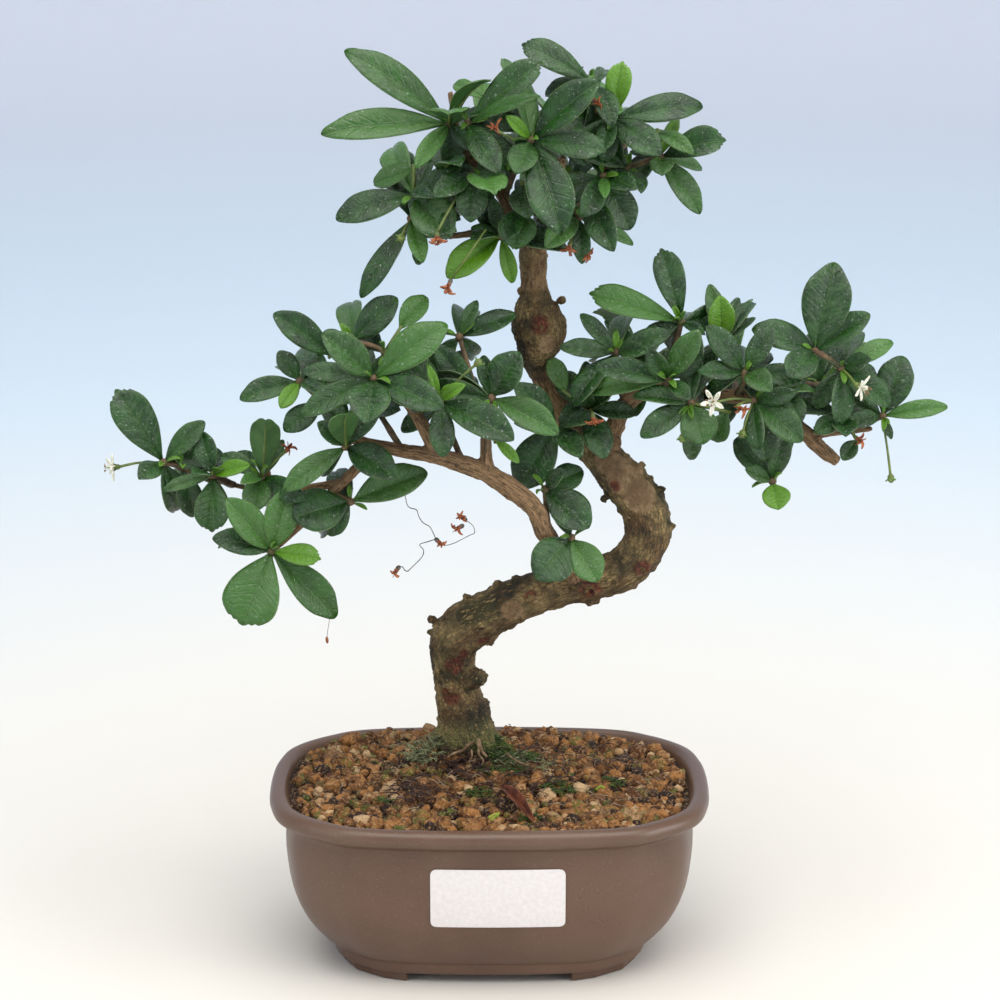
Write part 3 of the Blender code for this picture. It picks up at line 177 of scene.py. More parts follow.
def spun_floor():
    """A round floor whose edge curves up into a wall, spun from its profile."""
    shape = bmesh.new()
    profile = [(0.0, 0.0)]
    for step in range(CURVE_STEPS + 1):
        turn = math.radians(90.0 * step / CURVE_STEPS)
        inward, rise = 1.0 - math.sin(turn), 1.0 - math.cos(turn)
        profile.append((WALL_RADIUS - WALL_CURVE * inward, WALL_CURVE * rise))
    profile.append((WALL_RADIUS, WALL_TOP))
    corners = [shape.verts.new((radius, 0.0, height)) for radius, height in profile]
    edges = [shape.edges.new(pair) for pair in zip(corners, corners[1:])]
    bmesh.ops.spin(shape, geom=corners + edges, cent=(0.0, 0.0, 0.0), axis=(0.0, 0.0, 1.0),
                   angle=2 * math.pi, steps=FLOOR_STEPS, use_merge=True)
    bmesh.ops.remove_doubles(shape, verts=shape.verts, dist=0.0001)
    bmesh.ops.recalc_face_normals(shape, faces=shape.faces)
    if sum(face.normal.z * face.calc_area() for face in shape.faces) < 0.0:
        bmesh.ops.reverse_faces(shape, faces=shape.faces)
    for face in shape.faces:
        face.smooth = True
    mesh = bpy.data.meshes.new("floor")
    shape.to_mesh(mesh)
    shape.free()
    floor = bpy.data.objects.new("floor", mesh)
    bpy.context.scene.collection.objects.link(floor)
    return floor


floor_finish, tree, shader = new_finish("pale_floor", 0.8)
place = add_node(tree, "TexCoord").outputs["Object"]
flat = add_node(tree, "VectorMath", {0: place, 1: (1.0, 1.0, 0.0)}, operation="MULTIPLY").outputs[0]
away = add_node(tree, "VectorMath", {0: flat}, operation="LENGTH").outputs["Value"]
# Painted light: warm near the tree, bluer out to a metre and paler blue beyond, for the tint the light
# gives the backdrop
colour = blend(tree, between(tree, away, 0.10, 0.95), (0.71, 0.68, 0.62), (0.58, 0.69, 0.78))
colour = blend(tree, between(tree, away, 1.0, 2.0), colour, (0.73, 0.77, 0.85))
tree.links.new(colour, shader.inputs["Base Color"])
floor = spun_floor()
floor.data.materials.append(floor_finish)
print("faces of the floor:", len(floor.data.polygons))

# %% Lights and sky
TREE_MIDDLE = (0.0, 0.0, 0.17)


def soft_lamp(name, place, size, power, colour, aim=TREE_MIDDLE):
    """A large square lamp that looks at one place."""
    data = bpy.data.lights.new(name, "AREA")
    data.size = size
    data.energy = power
    data.color = colour
    lamp = bpy.data.objects.new(name, data)
    bpy.context.scene.collection.objects.link(lamp)
    lamp.location = POT_MIDDLE + Vector(place)
    lamp.rotation_euler = (Vector(aim) - Vector(place)).to_track_quat("-Z", "Y").to_euler()


soft_lamp("lamp_above", (0.06, -0.50, 1.40), 1.6, 29.0, (1.0, 0.98, 0.95))
soft_lamp("lamp_wall", (0.0, 0.7, 1.9), 1.2, 12.0, (0.96, 0.98, 1.0), (0.0, 2.2, 0.0))
soft_lamp("lamp_left", (-1.3, -0.9, 0.7), 0.9, 5.5, (1.0, 0.97, 0.93))
soft_lamp("lamp_right", (1.40, -0.55, 0.55), 0.9, 13.0, (1.0, 0.97, 0.94))
world = bpy.data.worlds.new("pale_sky")
world.use_nodes = True
sky = world.node_tree.nodes["Background"]
sky.inputs["Color"].default_value = (0.96, 0.98, 1.0, 1.0)
sky.inputs["Strength"].default_value = 0.24
bpy.context.scene.world = world
bpy.context.scene.view_settings.view_transform = "Standard"
print("lamps:", len(bpy.data.lights))


# %% [markdown]
# ## The numbers that the tree was built from
# The wood is a set of limbs, each a chain of points with a radius. The foliage is a set of sprays:
# a twig that leaves the wood, the hubs that its leaves grow from, and the leaves themselves. They are
# the same numbers as in the solids, so each fine leaf can stand where its plain one stands.

# %% Limbs, sprays, flowers and buds
LIMBS = {
    "trunk": (
        (-8, 18, 67, 11.4), (-9, 18, 76, 10.0), (-11, 17, 85, 8.4), (-12, 15, 95, 7.8),
        (-13, 12, 105, 8.3), (-10, 10, 113, 9.1), (-2, 8, 119, 8.7), (8, 6, 125, 7.8),
        (20, 5, 130, 7.5), (34, 4, 134, 7.5), (46, 3, 138, 7.8), (54, 2, 148, 8.0),
        (54, 2, 159, 8.3), (49, 3, 167, 8.1), (43, 5, 173, 7.4), (37, 7, 180, 6.5),
        (30, 9, 188, 5.5), (23, 10, 196, 4.5), (18, 11, 205, 3.8), (16, 11, 211, 5.8),
        (17, 11, 218, 8.9), (17, 11, 223, 9.4), (16, 11, 229, 7.9), (16, 11, 234, 4.8),
        (15, 11, 240, 4.4), (15, 11, 247, 4.9), (14, 11, 253, 4.4),
    ),
    "left_branch": (
        (32, 3, 137, 4.2), (25, -6, 145, 3.6), (19, -12, 156, 3.4), (15, -16, 166, 3.4),
        (8, -19, 173, 3.7), (0, -21, 179, 3.5), (-9, -22, 183, 3.2), (-19, -22, 186, 2.9),
        (-29, -20, 187, 2.5), (-37, -18, 188, 2.2), (-46, -16, 190, 1.7),
    ),
    "left_rise": (
        (-17, -22, 186, 2.7), (-20, -22, 192, 2.5), (-23, -22, 198, 2.3), (-27, -22, 204, 2.0),
        (-32, -22, 209, 1.5),
    ),
    "left_stub": (
        (0, -21, 180, 2.2), (-1, -20, 185, 2.2), (-1, -18, 192, 1.8),
    ),
    "left_low": (
        (-35, -18, 187, 2.2), (-44, -14, 180, 2.0), (-53, -12, 170, 1.7), (-64, -12, 159, 1.5),
        (-73, -13, 151, 1.5), (-77, -14, 151, 1.5),
    ),
    "left_far": (
        (-49, -13, 174, 1.7), (-61, -6, 170, 1.5), (-71, -4, 168, 1.5), (-78, -3, 168, 1.2),
        (-87, -3, 170, 0.9), (-95, -4, 172, 0.8),
    ),
    "stub_low": (
        (-77, -14, 151, 1.5), (-78, -15, 154, 1.5), (-76, -16, 159, 1.5),
    ),
    "stub_mid": (
        (-75, -3, 168, 1.5), (-76, -3, 175, 1.4), (-78, -3, 184, 1.4),
    ),
    "right_branch": (
        (40, 7, 182, 4.1), (43, 4, 189, 3.4), (46, 1, 197, 3.2), (51, -1, 202, 3.1),
        (59, -2, 204, 2.9), (72, -2, 203, 2.5), (84, -2, 201, 2.6), (94, -1, 202, 2.4),
        (102, 0, 206, 2.0), (110, 1, 210, 1.7),
    ),
    "right_low": (
        (89, -1, 201, 2.2), (98, 2, 195, 2.6), (108, 4, 187, 2.9), (114, 5, 181, 2.7),
        (120, 5, 176, 2.1),
    ),
    "right_twig": (
        (99, -1, 203, 1.4), (101, -6, 194, 1.2), (100, -8, 185, 1.1), (98, -8, 178, 1.1),
        (95, -8, 175, 1.0),
    ),
    "right_end": (
        (109, 4, 186, 1.9), (117, 3, 187, 1.5), (124, 2, 188, 1.2), (131, 1, 189, 0.9),
    ),
    "crown_left": (
        (14, 11, 251, 3.7), (9, 8, 259, 2.9), (5, 5, 268, 2.5), (0, 3, 278, 2.2),
        (-6, 2, 282, 2.0), (-10, 1, 288, 1.8), (-11, 1, 294, 1.2), (-13, 1, 305, 1.0),
    ),
    "crown_back": (
        (14, 11, 251, 3.4), (19, 20, 259, 2.6), (23, 24, 269, 2.1), (25, 25, 278, 1.5),
    ),
    "crown_right": (
        (15, 10, 249, 3.2), (24, 6, 258, 2.5), (32, 3, 266, 2.2), (37, 1, 275, 1.8),
        (39, 0, 286, 1.5), (40, -1, 295, 1.2),
    ),
    "crown_low": (
        (10, 7, 258, 2.0), (3, 3, 258, 1.7), (-6, 1, 257, 1.3), (-14, 0, 256, 1.0),
    ),
}
# Leafy sprays: where the twig leaves the wood, its hubs, how many hidden leaves fill it, its leaves.
# A leaf is its foot, its tip, its width and its kind: 0 plain, 1 toothed, 2 young, 3 young and toothed.
SPRAYS = {
    "crown_tip": (
        (-10, 1, 288),
        ((-13, -3, 295),),
        1,
        (
            ((-15, -3, 297), (-47, -5, 320), 12, 0),
            ((-18, -3, 291), (-55, -13, 294), 12, 0),
            ((-11, -3, 290), (-13, -25, 303), 14, 0),
            ((-19, -3, 291), (-24, -17, 283), 7, 0),
        ),
    ),
    "crown_top_left": (
        (-6, 2, 282),
        ((-7, -8, 296),),
        1,
        (
            ((-9, -8, 299), (17, -11, 317), 11, 1),
            ((-4, -8, 295), (16, -24, 308), 5, 0),
            ((-7, -8, 295), (3, -26, 283), 10, 0),
            ((0, 2, 302), (-12, 12, 306), 6, 1),
        ),
    ),
    "crown_front": (
        (5, 5, 268),
        ((9, -4, 280), (14, -12, 291),),
        1,
        (
            ((10, -12, 288), (9, -26, 283), 10, 0),
            ((15, -12, 292), (24, -28, 263), 17, 0),
            ((15, -12, 292), (36, -18, 312), 13, 0),
            ((20, -12, 290), (38, -24, 290), 10, 1),
            ((14, -12, 291), (6, -18, 300), 5, 2),
            ((16, -4, 297), (2, 6, 302), 7, 0),
        ),
    ),
    "crown_top": (
        (39, 0, 286),
        ((41, -4, 297), (35, -2, 308),),
        1,
        (
            ((34, -2, 310), (11, 2, 321), 10, 1),
            ((34, 2, 302), (23, 10, 290), 10, 0),
            ((40, -4, 299), (44, -6, 316), 9, 3),
            ((43, -4, 299), (71, -2, 301), 11, 0),
            ((43, -4, 297), (56, -20, 288), 11, 0),
            ((41, -4, 295), (37, -16, 288), 7, 0),
            ((36, -2, 308), (39, 12, 311), 5, 0),
        ),
    ),
    "crown_right": (
        (37, 1, 275),
        ((47, -2, 280), (57, -4, 284),),
        1,
        (
            ((58, -4, 285), (78, -10, 291), 12, 1),
            ((58, -4, 281), (70, -14, 267), 9, 0),
            ((56, -4, 292), (67, -18, 288), 6, 0),
            ((52, -4, 286), (57, -18, 281), 8, 0),
            ((57, -4, 282), (72, 6, 278), 5, 0),
            ((53, -4, 290), (63, 2, 296), 5, 2),
        ),
    ),
    "crown_lower_right": (
        (32, 3, 266),
        ((38, -8, 278), (30, -6, 264),),
        0,
        (
            ((38, -8, 282), (48, -22, 277), 8, 0),
            ((41, -8, 279), (47, -12, 261), 12, 0),
            ((33, -6, 271), (41, -18, 256), 11, 0),
            ((33, -8, 280), (38, -26, 275), 4, 0),
            ((29, -6, 263), (31, -14, 250), 7, 0),
            ((34, -6, 264), (49, 2, 253), 5, 0),
            ((24, -6, 265), (19, -20, 257), 9, 0),
        ),
    ),
    "crown_left_mid": (
        (0, 3, 278),
        ((-5, -8, 279),),
        1,
        (
            ((-7, -8, 281), (-18, -20, 274), 8, 0),
            ((-6, -8, 278), (-6, -18, 265), 11, 0),
        ),
    ),
    "crown_left_out": (
        (-6, 2, 282),
        ((-16, 0, 278), (-25, -4, 271),),
        1,
        (
            ((-25, -4, 280), (-39, 2, 274), 8, 0),
            ((-27, -4, 269), (-51, -8, 264), 11, 0),
            ((-20, -4, 272), (-13, -18, 260), 15, 0),
        ),
    ),
    "crown_left_low": (
        (-14, 0, 256),
        ((-22, -3, 260), (-26, -4, 263),),
        1,
        (
            ((-28, -4, 263), (-43, -12, 238), 8, 0),
            ((-28, -4, 257), (-35, 2, 245), 5, 0),
            ((-27, -4, 263), (-22, -16, 251), 7, 0),
            ((-16, -3, 256), (-24, 1, 246), 5, 0),
        ),
    ),
    "crown_under": (
        (9, 8, 259),
        ((10, -6, 267), (4, -4, 257),),
        0,
        (
            ((10, -6, 266), (9, -14, 255), 14, 0),
            ((11, -6, 275), (13, -16, 266), 11, 0),
            ((3, -4, 256), (-14, -12, 245), 12, 2),
            ((6, -4, 254), (8, -4, 241), 6, 2),
            ((2, -4, 260), (-6, -4, 260), 5, 0),
        ),
    ),
    "crown_back_top": (
        (25, 25, 278),
        ((23, 34, 287),),
        5,
        (
        ),
    ),
    "crown_back_middle": (
        (23, 24, 269),
        ((28, 44, 267),),
        5,
        (
        ),
    ),
    "crown_back_left": (
        (0, 3, 278),
        ((-2, 28, 282),),
        5,
        (
        ),
    ),
    "crown_back_right": (
        (37, 1, 275),
        ((47, 26, 284),),
        5,
        (
        ),
    ),
    "left_rosette": (
        (-32, -22, 209),
        ((-38, -32, 215),),
        0,
        (
            ((-41, -32, 216), (-54, -38, 232), 12, 0),
            ((-35, -32, 218), (-14, -34, 234), 13, 0),
            ((-38, -32, 215), (-40, -50, 205), 15, 0),
            ((-34, -32, 216), (-15, -46, 209), 12, 0),
            ((-42, -32, 216), (-62, -28, 217), 7, 0),
            ((-41, -32, 214), (-62, -36, 204), 9, 0),
        ),
    ),
    "left_top": (
        (-32, -22, 209),
        ((-35, -12, 219), (-46, -8, 222),),
        1,
        (
            ((-43, -8, 224), (-31, -8, 237), 11, 0),
            ((-30, -12, 227), (-21, -6, 237), 9, 0),
            ((-53, -8, 217), (-72, -10, 232), 11, 0),
        ),
    ),
    "left_top_right": (
        (-1, -18, 192),
        ((-4, -12, 203), (-10, -6, 223),),
        1,
        (
            ((-11, -6, 225), (-4, -4, 235), 5, 0),
            ((-9, -6, 226), (9, -2, 230), 8, 0),
            ((-2, -12, 207), (-18, -18, 223), 9, 0),
        ),
    ),
    "left_middle": (
        (-1, -20, 185),
        ((1, -26, 207),),
        1,
        (
            ((-1, -26, 209), (10, -28, 223), 13, 0),
            ((4, -26, 205), (23, -34, 197), 11, 0),
            ((2, -20, 191), (10, -24, 184), 4, 2),
        ),
    ),
    "left_front": (
        (-27, -22, 204),
        ((-16, -34, 208),),
        0,
        (
            ((-13, -34, 208), (8, -48, 199), 13, 0),
            ((-19, -34, 206), (-15, -42, 191), 9, 0),
            ((-12, -34, 204), (-1, -30, 195), 6, 0),
            ((-17, -34, 211), (-8, -40, 215), 5, 2),
            ((-18, -34, 212), (-20, -36, 221), 3, 2),
        ),
    ),
    "left_end": (
        (-46, -16, 190),
        ((-48, -22, 189),),
        1,
        (
            ((-43, -22, 187), (-31, -34, 182), 12, 0),
            ((-52, -22, 189), (-69, -26, 175), 9, 0),
            ((-51, -22, 191), (-57, -18, 198), 7, 0),
        ),
    ),
    "left_low_big": (
        (-53, -12, 170),
        ((-47, -16, 168),),
        0,
        (
            ((-45, -16, 166), (-21, -14, 178), 13, 0),
            ((-49, -16, 168), (-66, -24, 165), 16, 0),
        ),
    ),
    "inner_dark": (
        (31, 9, 190),
        ((23, -2, 191),),
        1,
        (
            ((21, -2, 188), (10, -6, 170), 15, 0),
            ((24, -2, 196), (9, -4, 206), 10, 0),
            ((26, -2, 194), (31, -16, 184), 9, 0),
        ),
    ),
    "inner_low": (
        (20, -12, 157),
        ((19, -8, 170),),
        0,
        (
            ((19, -8, 170), (34, -16, 159), 14, 0),
            ((19, -8, 173), (25, -16, 179), 6, 0),
            ((21, -8, 173), (32, -4, 176), 10, 0),
        ),
    ),
    "elbow": (
        (24, -4, 143),
        ((28, -12, 154),),
        0,
        (
            ((27, -12, 154), (16, -20, 143), 16, 0),
            ((29, -12, 153), (37, -20, 141), 12, 0),
            ((27, -12, 157), (22, -10, 165), 7, 0),
        ),
    ),
    "left_edge": (
        (-46, -16, 190),
        ((-56, -10, 201), (-64, -8, 208),),
        1,
        (
            ((-67, -8, 208), (-84, -12, 203), 9, 0),
            ((-63, -8, 206), (-70, -16, 201), 6, 2),
            ((-62, -8, 211), (-71, -6, 218), 7, 0),
            ((-55, -10, 199), (-69, -16, 193), 9, 0),
        ),
    ),
    "left_back": (
        (-9, -22, 184),
        ((-17, 2, 197),),
        5,
        (
        ),
    ),
    "left_back_end": (
        (-29, -20, 187),
        ((-40, 6, 197),),
        5,
        (
        ),
    ),
    "far_left_tip": (
        (-95, -4, 172),
        ((-105, -5, 177), (-111, -6, 179),),
        1,
        (
            ((-112, -6, 180), (-126, -8, 205), 14, 1),
            ((-110, -6, 180), (-97, -4, 193), 8, 0),
            ((-109, -6, 178), (-118, -18, 177), 8, 0),
        ),
    ),
    "far_left": (
        (-87, -3, 170),
        ((-94, -8, 175),),
        1,
        (
            ((-95, -8, 178), (-98, -6, 189), 9, 0),
            ((-98, -8, 172), (-111, -12, 171), 5, 0),
            ((-94, -8, 172), (-94, -18, 158), 13, 1),
            ((-93, -8, 173), (-81, -16, 181), 6, 2),
        ),
    ),
    "left_inner": (
        (-78, -3, 168),
        ((-77, -10, 175),),
        1,
        (
            ((-79, -10, 176), (-92, -4, 181), 7, 0),
            ((-77, -10, 172), (-80, -20, 166), 10, 0),
            ((-78, -10, 175), (-83, -24, 177), 5, 0),
            ((-74, -10, 176), (-70, -6, 187), 5, 0),
        ),
    ),
    "low_left": (
        (-73, -13, 151),
        ((-74, -18, 151),),
        0,
        (
            ((-76, -18, 153), (-88, -14, 171), 12, 0),
            ((-72, -18, 153), (-68, -20, 173), 12, 0),
            ((-75, -18, 150), (-84, -28, 128), 20, 1),
            ((-72, -18, 151), (-57, -26, 151), 8, 3),
            ((-70, -18, 148), (-52, -20, 128), 13, 0),
        ),
    ),
    "right_top_left": (
        (59, -2, 204),
        ((65, -2, 227),),
        1,
        (
            ((62, -2, 229), (34, -4, 238), 11, 1),
            ((67, -2, 229), (58, 0, 252), 11, 1),
            ((66, -2, 226), (72, -14, 226), 4, 0),
        ),
    ),
    "right_left": (
        (46, 1, 197),
        ((43, -4, 217),),
        1,
        (
            ((42, -4, 219), (31, -2, 230), 6, 0),
            ((41, -4, 218), (24, -8, 220), 7, 0),
            ((46, -4, 218), (61, -8, 225), 8, 0),
        ),
    ),
    "right_front_left": (
        (59, -2, 204),
        ((60, -14, 210),),
        0,
        (
            ((59, -14, 211), (35, -20, 216), 9, 0),
            ((62, -14, 212), (70, -18, 228), 9, 0),
            ((61, -14, 208), (67, -24, 206), 6, 0),
            ((54, -14, 209), (33, -10, 205), 8, 0),
        ),
    ),
    "right_middle": (
        (84, -2, 201),
        ((86, -12, 212), (79, 2, 219),),
        1,
        (
            ((85, -12, 213), (73, -16, 229), 9, 0),
            ((87, -12, 213), (95, -12, 228), 8, 0),
            ((88, -12, 212), (94, -24, 209), 9, 0),
            ((84, -12, 212), (70, -18, 214), 7, 0),
            ((76, 2, 224), (75, 8, 238), 7, 0),
            ((83, 2, 219), (78, -2, 236), 10, 2),
            ((81, 2, 225), (91, 10, 226), 3, 0),
            ((79, 2, 223), (85, 10, 233), 5, 0),
        ),
    ),
    "right_top": (
        (110, 1, 210),
        ((110, -6, 218), (119, -6, 212),),
        1,
        (
            ((109, -6, 220), (116, -4, 248), 18, 0),
            ((115, -6, 216), (128, -6, 231), 10, 0),
            ((108, -6, 217), (100, -20, 213), 11, 0),
            ((107, -6, 220), (98, -2, 227), 5, 0),
            ((119, -6, 214), (128, -12, 217), 7, 0),
            ((121, -6, 216), (137, 0, 220), 7, 0),
            ((121, -6, 209), (135, -16, 201), 10, 0),
        ),
    ),
    "right_end": (
        (124, 2, 188),
        ((134, -1, 194),),
        1,
        (
            ((136, -1, 198), (141, 3, 214), 13, 0),
            ((135, -1, 193), (156, -3, 198), 7, 0),
            ((133, -1, 190), (137, -5, 187), 3, 0),
        ),
    ),
    "right_low_front": (
        (89, -1, 201),
        ((89, -14, 203),),
        1,
        (
            ((90, -14, 204), (105, -22, 191), 11, 0),
            ((89, -14, 202), (94, -16, 182), 11, 0),
            ((100, -10, 205), (105, -16, 196), 8, 0),
        ),
    ),
    "right_low_left": (
        (72, -2, 203),
        ((68, -14, 202),),
        1,
        (
            ((62, -14, 204), (51, -20, 192), 9, 0),
            ((69, -14, 202), (72, -22, 190), 13, 0),
            ((67, -14, 199), (69, -8, 180), 7, 0),
            ((80, -14, 199), (76, -12, 188), 9, 0),
        ),
    ),
    "hanging": (
        (98, -8, 178),
        ((96, -10, 174),),
        0,
        (
            ((94, -10, 175), (87, -14, 179), 6, 0),
            ((97, -10, 174), (98, -18, 166), 10, 2),
        ),
    ),
    "right_low": (
        (117, 3, 187),
        ((120, -6, 195),),
        1,
        (
            ((118, -6, 199), (120, -18, 192), 9, 0),
            ((125, -6, 187), (120, -10, 181), 6, 0),
            ((115, -6, 196), (110, -14, 192), 7, 0),
        ),
    ),
    "trunk_right": (
        (39, 7, 183),
        ((34, 0, 196),),
        1,
        (
            ((29, 0, 199), (33, 4, 212), 7, 0),
            ((26, 0, 202), (21, 6, 213), 7, 0),
            ((35, 0, 194), (39, -14, 183), 10, 0),
            ((38, 0, 199), (45, -10, 211), 7, 0),
        ),
    ),
    "right_back_left": (
        (51, -1, 202),
        ((53, 24, 204),),
        5,
        (
        ),
    ),
    "right_back": (
        (84, -2, 201),
        ((85, 24, 202),),
        5,
        (
        ),
    ),
    "right_back_end": (
        (102, 0, 206),
        ((114, 22, 199),),
        5,
        (
        ),
    ),
}
# Open flowers and dried calyces: name, kind, spray, foot, the way it looks
FLOWERS = (
    ("white_flower_front", "white", "right_low_front", (76, -24, 205), (-0.5, -0.8, 0.2)),
    ("white_flower_far_left", "white", "far_left_tip", (-126, -8, 178), (-1, -0.3, 0.0)),
    ("pale_flower_right", "white", "right_top", (123, -16, 209), (0.7, -0.5, -0.3)),
    ("calyx_front", "calyx", "right_low_front", (83, -22, 203), (0.5, -0.8, -0.2)),
    ("calyx_trunk", "calyx", "trunk_right", (35, -14, 198), (0.1, -0.5, -0.9)),
    ("calyx_right_end", "calyx", "right_low", (124, -10, 189), (0.6, -0.8, -0.2)),
    ("calyx_crown_top", "calyx", "crown_top", (37, -12, 302), (-0.3, -0.8, 0.4)),
    ("calyx_crown_low", "calyx", "crown_lower_right", (27, -14, 257), (-0.2, -0.6, -0.8)),
    ("calyx_crown_left", "calyx", "crown_left_mid", (-17, -22, 262), (0.0, -0.4, -0.9)),
    ("calyx_left", "calyx", "left_inner", (-69, -10, 184), (0.4, -0.5, 0.7)),
)
# Green flower buds: the spray and the place of each
BUDS = (
    ("crown_left_low", (-29, -14, 259)),
    ("left_edge", (-53, -22, 193)),
    ("right_low_left", (65, -20, 192)),
    ("right_low_front", (85, -22, 194)),
    ("right_end", (137, -6, 174)),
    ("left_front", (-4, -36, 221)),
)
# The stub of an old branch low on the trunk
BURR = ((-9, 14, 94, 5.0), (-5, 9, 96, 4.2), (-2, 6, 98, 2.6))

# %% [markdown]
# ## Where a twig meets the wood
# A hub must clear the bark, and a twig must end in it. Both need the distance to the nearest limb,
# which is a chain of straight cones, so the sum is short: drop the point on each cone's axis and
# take the radius off.

# %% Distance to the wood
GAP = 0.3
TWIG_RADIUS = 1.15
BUD_RADIUS = 1.7
SKEW = Vector((0.13, 0.71, 0.69))


def nearest_wood(point):
    """How far a point lies outside the nearest limb, and the way straight out of that limb."""
    least, away = math.inf, Vector()
    for path in LIMBS.values():
        for k, ((ax, ay, az, ra), (bx, by, bz, rb)) in enumerate(zip(path, path[1:])):
            a = Vector((ax, ay, az))
            run = Vector((bx, by, bz)) - a
            along = (point - a).dot(run) / run.length_squared
            share = min(1.0, max(0.0, along))
            out = point - a - run * share
            clear = out.length - (ra + (rb - ra) * share)
            if along > 1.0 and k == len(path) - 2:
                past_end = (along - 1.0) * run.length
                beside = max(0.0, (point - a - run * along).length - rb)
                clear = math.hypot(past_end, beside)
            if clear < least:
                least, away = clear, out.normalized()
    return least, away


def spray_hubs(name):
    """The spray's hubs, moved off the bark where they would touch it."""
    hubs = []
    for place in SPRAYS[name][1]:
        hub = Vector(place)
        for _ in range(20):
            clear, away = nearest_wood(hub)
            if clear > BUD_RADIUS + GAP + 0.1:
                break
            hub += away * 0.4
        hubs.append(hub)
    return hubs


HUBS = {name: spray_hubs(name) for name in SPRAYS}
print("hubs:", sum(len(hubs) for hubs in HUBS.values()))

# %% [markdown]
# ## Finding each leaf in its solid
# The plain leaves were settled one by one: a leaf that would cross another was made shorter, moved
# deeper or rolled until it came clear. The choice isn't stored, but it can be seen: a leaf's tip
# is two corners of the solid, one on each face. So each choice is tried in the same order, and the one
# whose corners are in the solid is the leaf that was built.

# %% Leaves in the solids
LEAF_THICKNESS = 0.7
LEAF_FACE = Vector((0.0, -0.82, 0.57))
SHRINK_STEPS = (1.0, 0.82)
DEPTH_STEPS = (0, 3, -3, 6, -6, 9, -9, 12, -12)
ROLL_STEPS = (0, 16, -16)
STALK_FROM = 7.5
LEAF_ROOT = 0.6
FILL_TRIES = 12
FILL_LENGTH = (20.0, 31.0)
FILL_LEAN = Vector((0.0, 0.55, 0.15))
TOOTHED_SHARE = 0.15
TOOTHED_KINDS = (1, 3)
YOUNG_KINDS = (2, 3)
HIDDEN_KIND = 4
SAME_PLACE = 0.03


def solid_corners(name):
    """A lookup of the corners of one CAD node, in millimetres from the pot's middle."""
    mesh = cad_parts[name].data
    lookup = KDTree(len(mesh.vertices))
    for index, vertex in enumerate(mesh.vertices):
        lookup.insert((vertex.co - POT_MIDDLE) / MM, index)
    lookup.balance()
    return lookup


def new_leaf(base, tip, width, kind, face, roll, fold, arch):
    """A leaf's facts; its face is square to its length and rolled by some degrees."""
    along = (tip - base).normalized()
    flat = face - along * face.dot(along)
    if flat.length < 0.15:
        flat = Vector((0.0, 0.3, 1.0)) - along * along.z
    normal = Matrix.Rotation(math.radians(roll), 3, along) @ flat.normalized()
    leaf = {"base": base, "tip": tip, "width": width, "kind": kind}
    return {**leaf, "normal": normal, "fold": fold, "arch": arch}


def in_solid(leaf, corners):
    """Whether both corners of this leaf's tip are corners of the solid."""
    along = (leaf["tip"] - leaf["base"]).normalized()
    up = (leaf["normal"] + along * leaf["arch"] * 4.0).normalized() * LEAF_THICKNESS / 2
    return all(corners.find(leaf["tip"] + way)[2] < SAME_PLACE for way in (up, -up))


def front_leaf(spray, row, draw, corners):
    """The leaf that a row of the table became, or None where it found no room."""
    base, tip, width, kind = Vector(row[0]), Vector(row[1]), row[2], row[3]
    fold, arch = draw.uniform(0.10, 0.30), draw.uniform(0.03, 0.09)
    hub = min(HUBS[spray], key=lambda spot: (spot - base).length)
    if (base - hub).length < STALK_FROM:
        base = hub + (tip - hub).normalized() * LEAF_ROOT
    for shrink, depth, roll in product(SHRINK_STEPS, DEPTH_STEPS, ROLL_STEPS):
        moved = base + (tip + Vector((0.0, depth, 0.0)) - base) * shrink
        leaf = new_leaf(base, moved, width * shrink, kind, LEAF_FACE, roll, fold, arch)
        if in_solid(leaf, corners):
            return leaf
    return None


def hidden_leaf(hub, outward, draw, corners):
    """A leaf of the far side, drawn as the solids drew it."""
    for _ in range(FILL_TRIES):
        way = Vector([draw.gauss(0.0, 1.0) for _ in range(3)]).normalized() + outward * 0.8
        way = (way + FILL_LEAN).normalized()
        length = draw.uniform(*FILL_LENGTH)
        base = hub + way * LEAF_ROOT
        tip = base + way * length
        face = Vector((0.0, 0.25, 1.0)) + outward * 0.4
        kind = TOOTHED_KINDS[0] if draw.random() < TOOTHED_SHARE else HIDDEN_KIND
        width = length * draw.uniform(0.38, 0.46)
        roll, fold, arch = draw.uniform(-20, 20), draw.uniform(0.10, 0.28), draw.uniform(0.05, 0.12)
        leaf = new_leaf(base, tip, width, kind, face, roll, fold, arch)
        if in_solid(leaf, corners):
            return leaf
    return None


def find_leaves():
    """Every spray's leaves, in the order in which the solids drew them."""
    corners = {name: solid_corners(name) for name in SPRAYS}
    draw = random.Random(21)
    found = {name: [front_leaf(name, row, draw, corners[name]) for row in SPRAYS[name][3]]
             for name in SPRAYS}
    for name, (root, _, fill, _) in SPRAYS.items():
        hubs = HUBS[name]
        for k in range(fill):
            hub = hubs[-1 - k % len(hubs)]
            outward = (hub - Vector(root)).normalized()
            found[name].append(hidden_leaf(hub, outward, draw, corners[name]))
    return {name: [leaf for leaf in leaves if leaf] for name, leaves in found.items()}


LEAVES = find_leaves()
print("leaves found in the solids:", sum(len(leaves) for leaves in LEAVES.values()))

# %% [markdown]
# ## One leaf
# A fukien tea leaf is a small leathery blade, widest past its middle, folded a little along a
# pale midrib, with a thin pale edge and now and then a few teeth at its end. It could be a flat
# card with a picture on it, but a card has no fold to catch the light. Here a grid is thickened once
# into a thin slab, and each leaf is a copy of the slab whose corners are moved: out to the leaf's
# outline, up into its fold and arch.

# %% The slab that every leaf is cut from
BLADE_THICKNESS = 0.35
ACROSS, ALONG = 12, 14


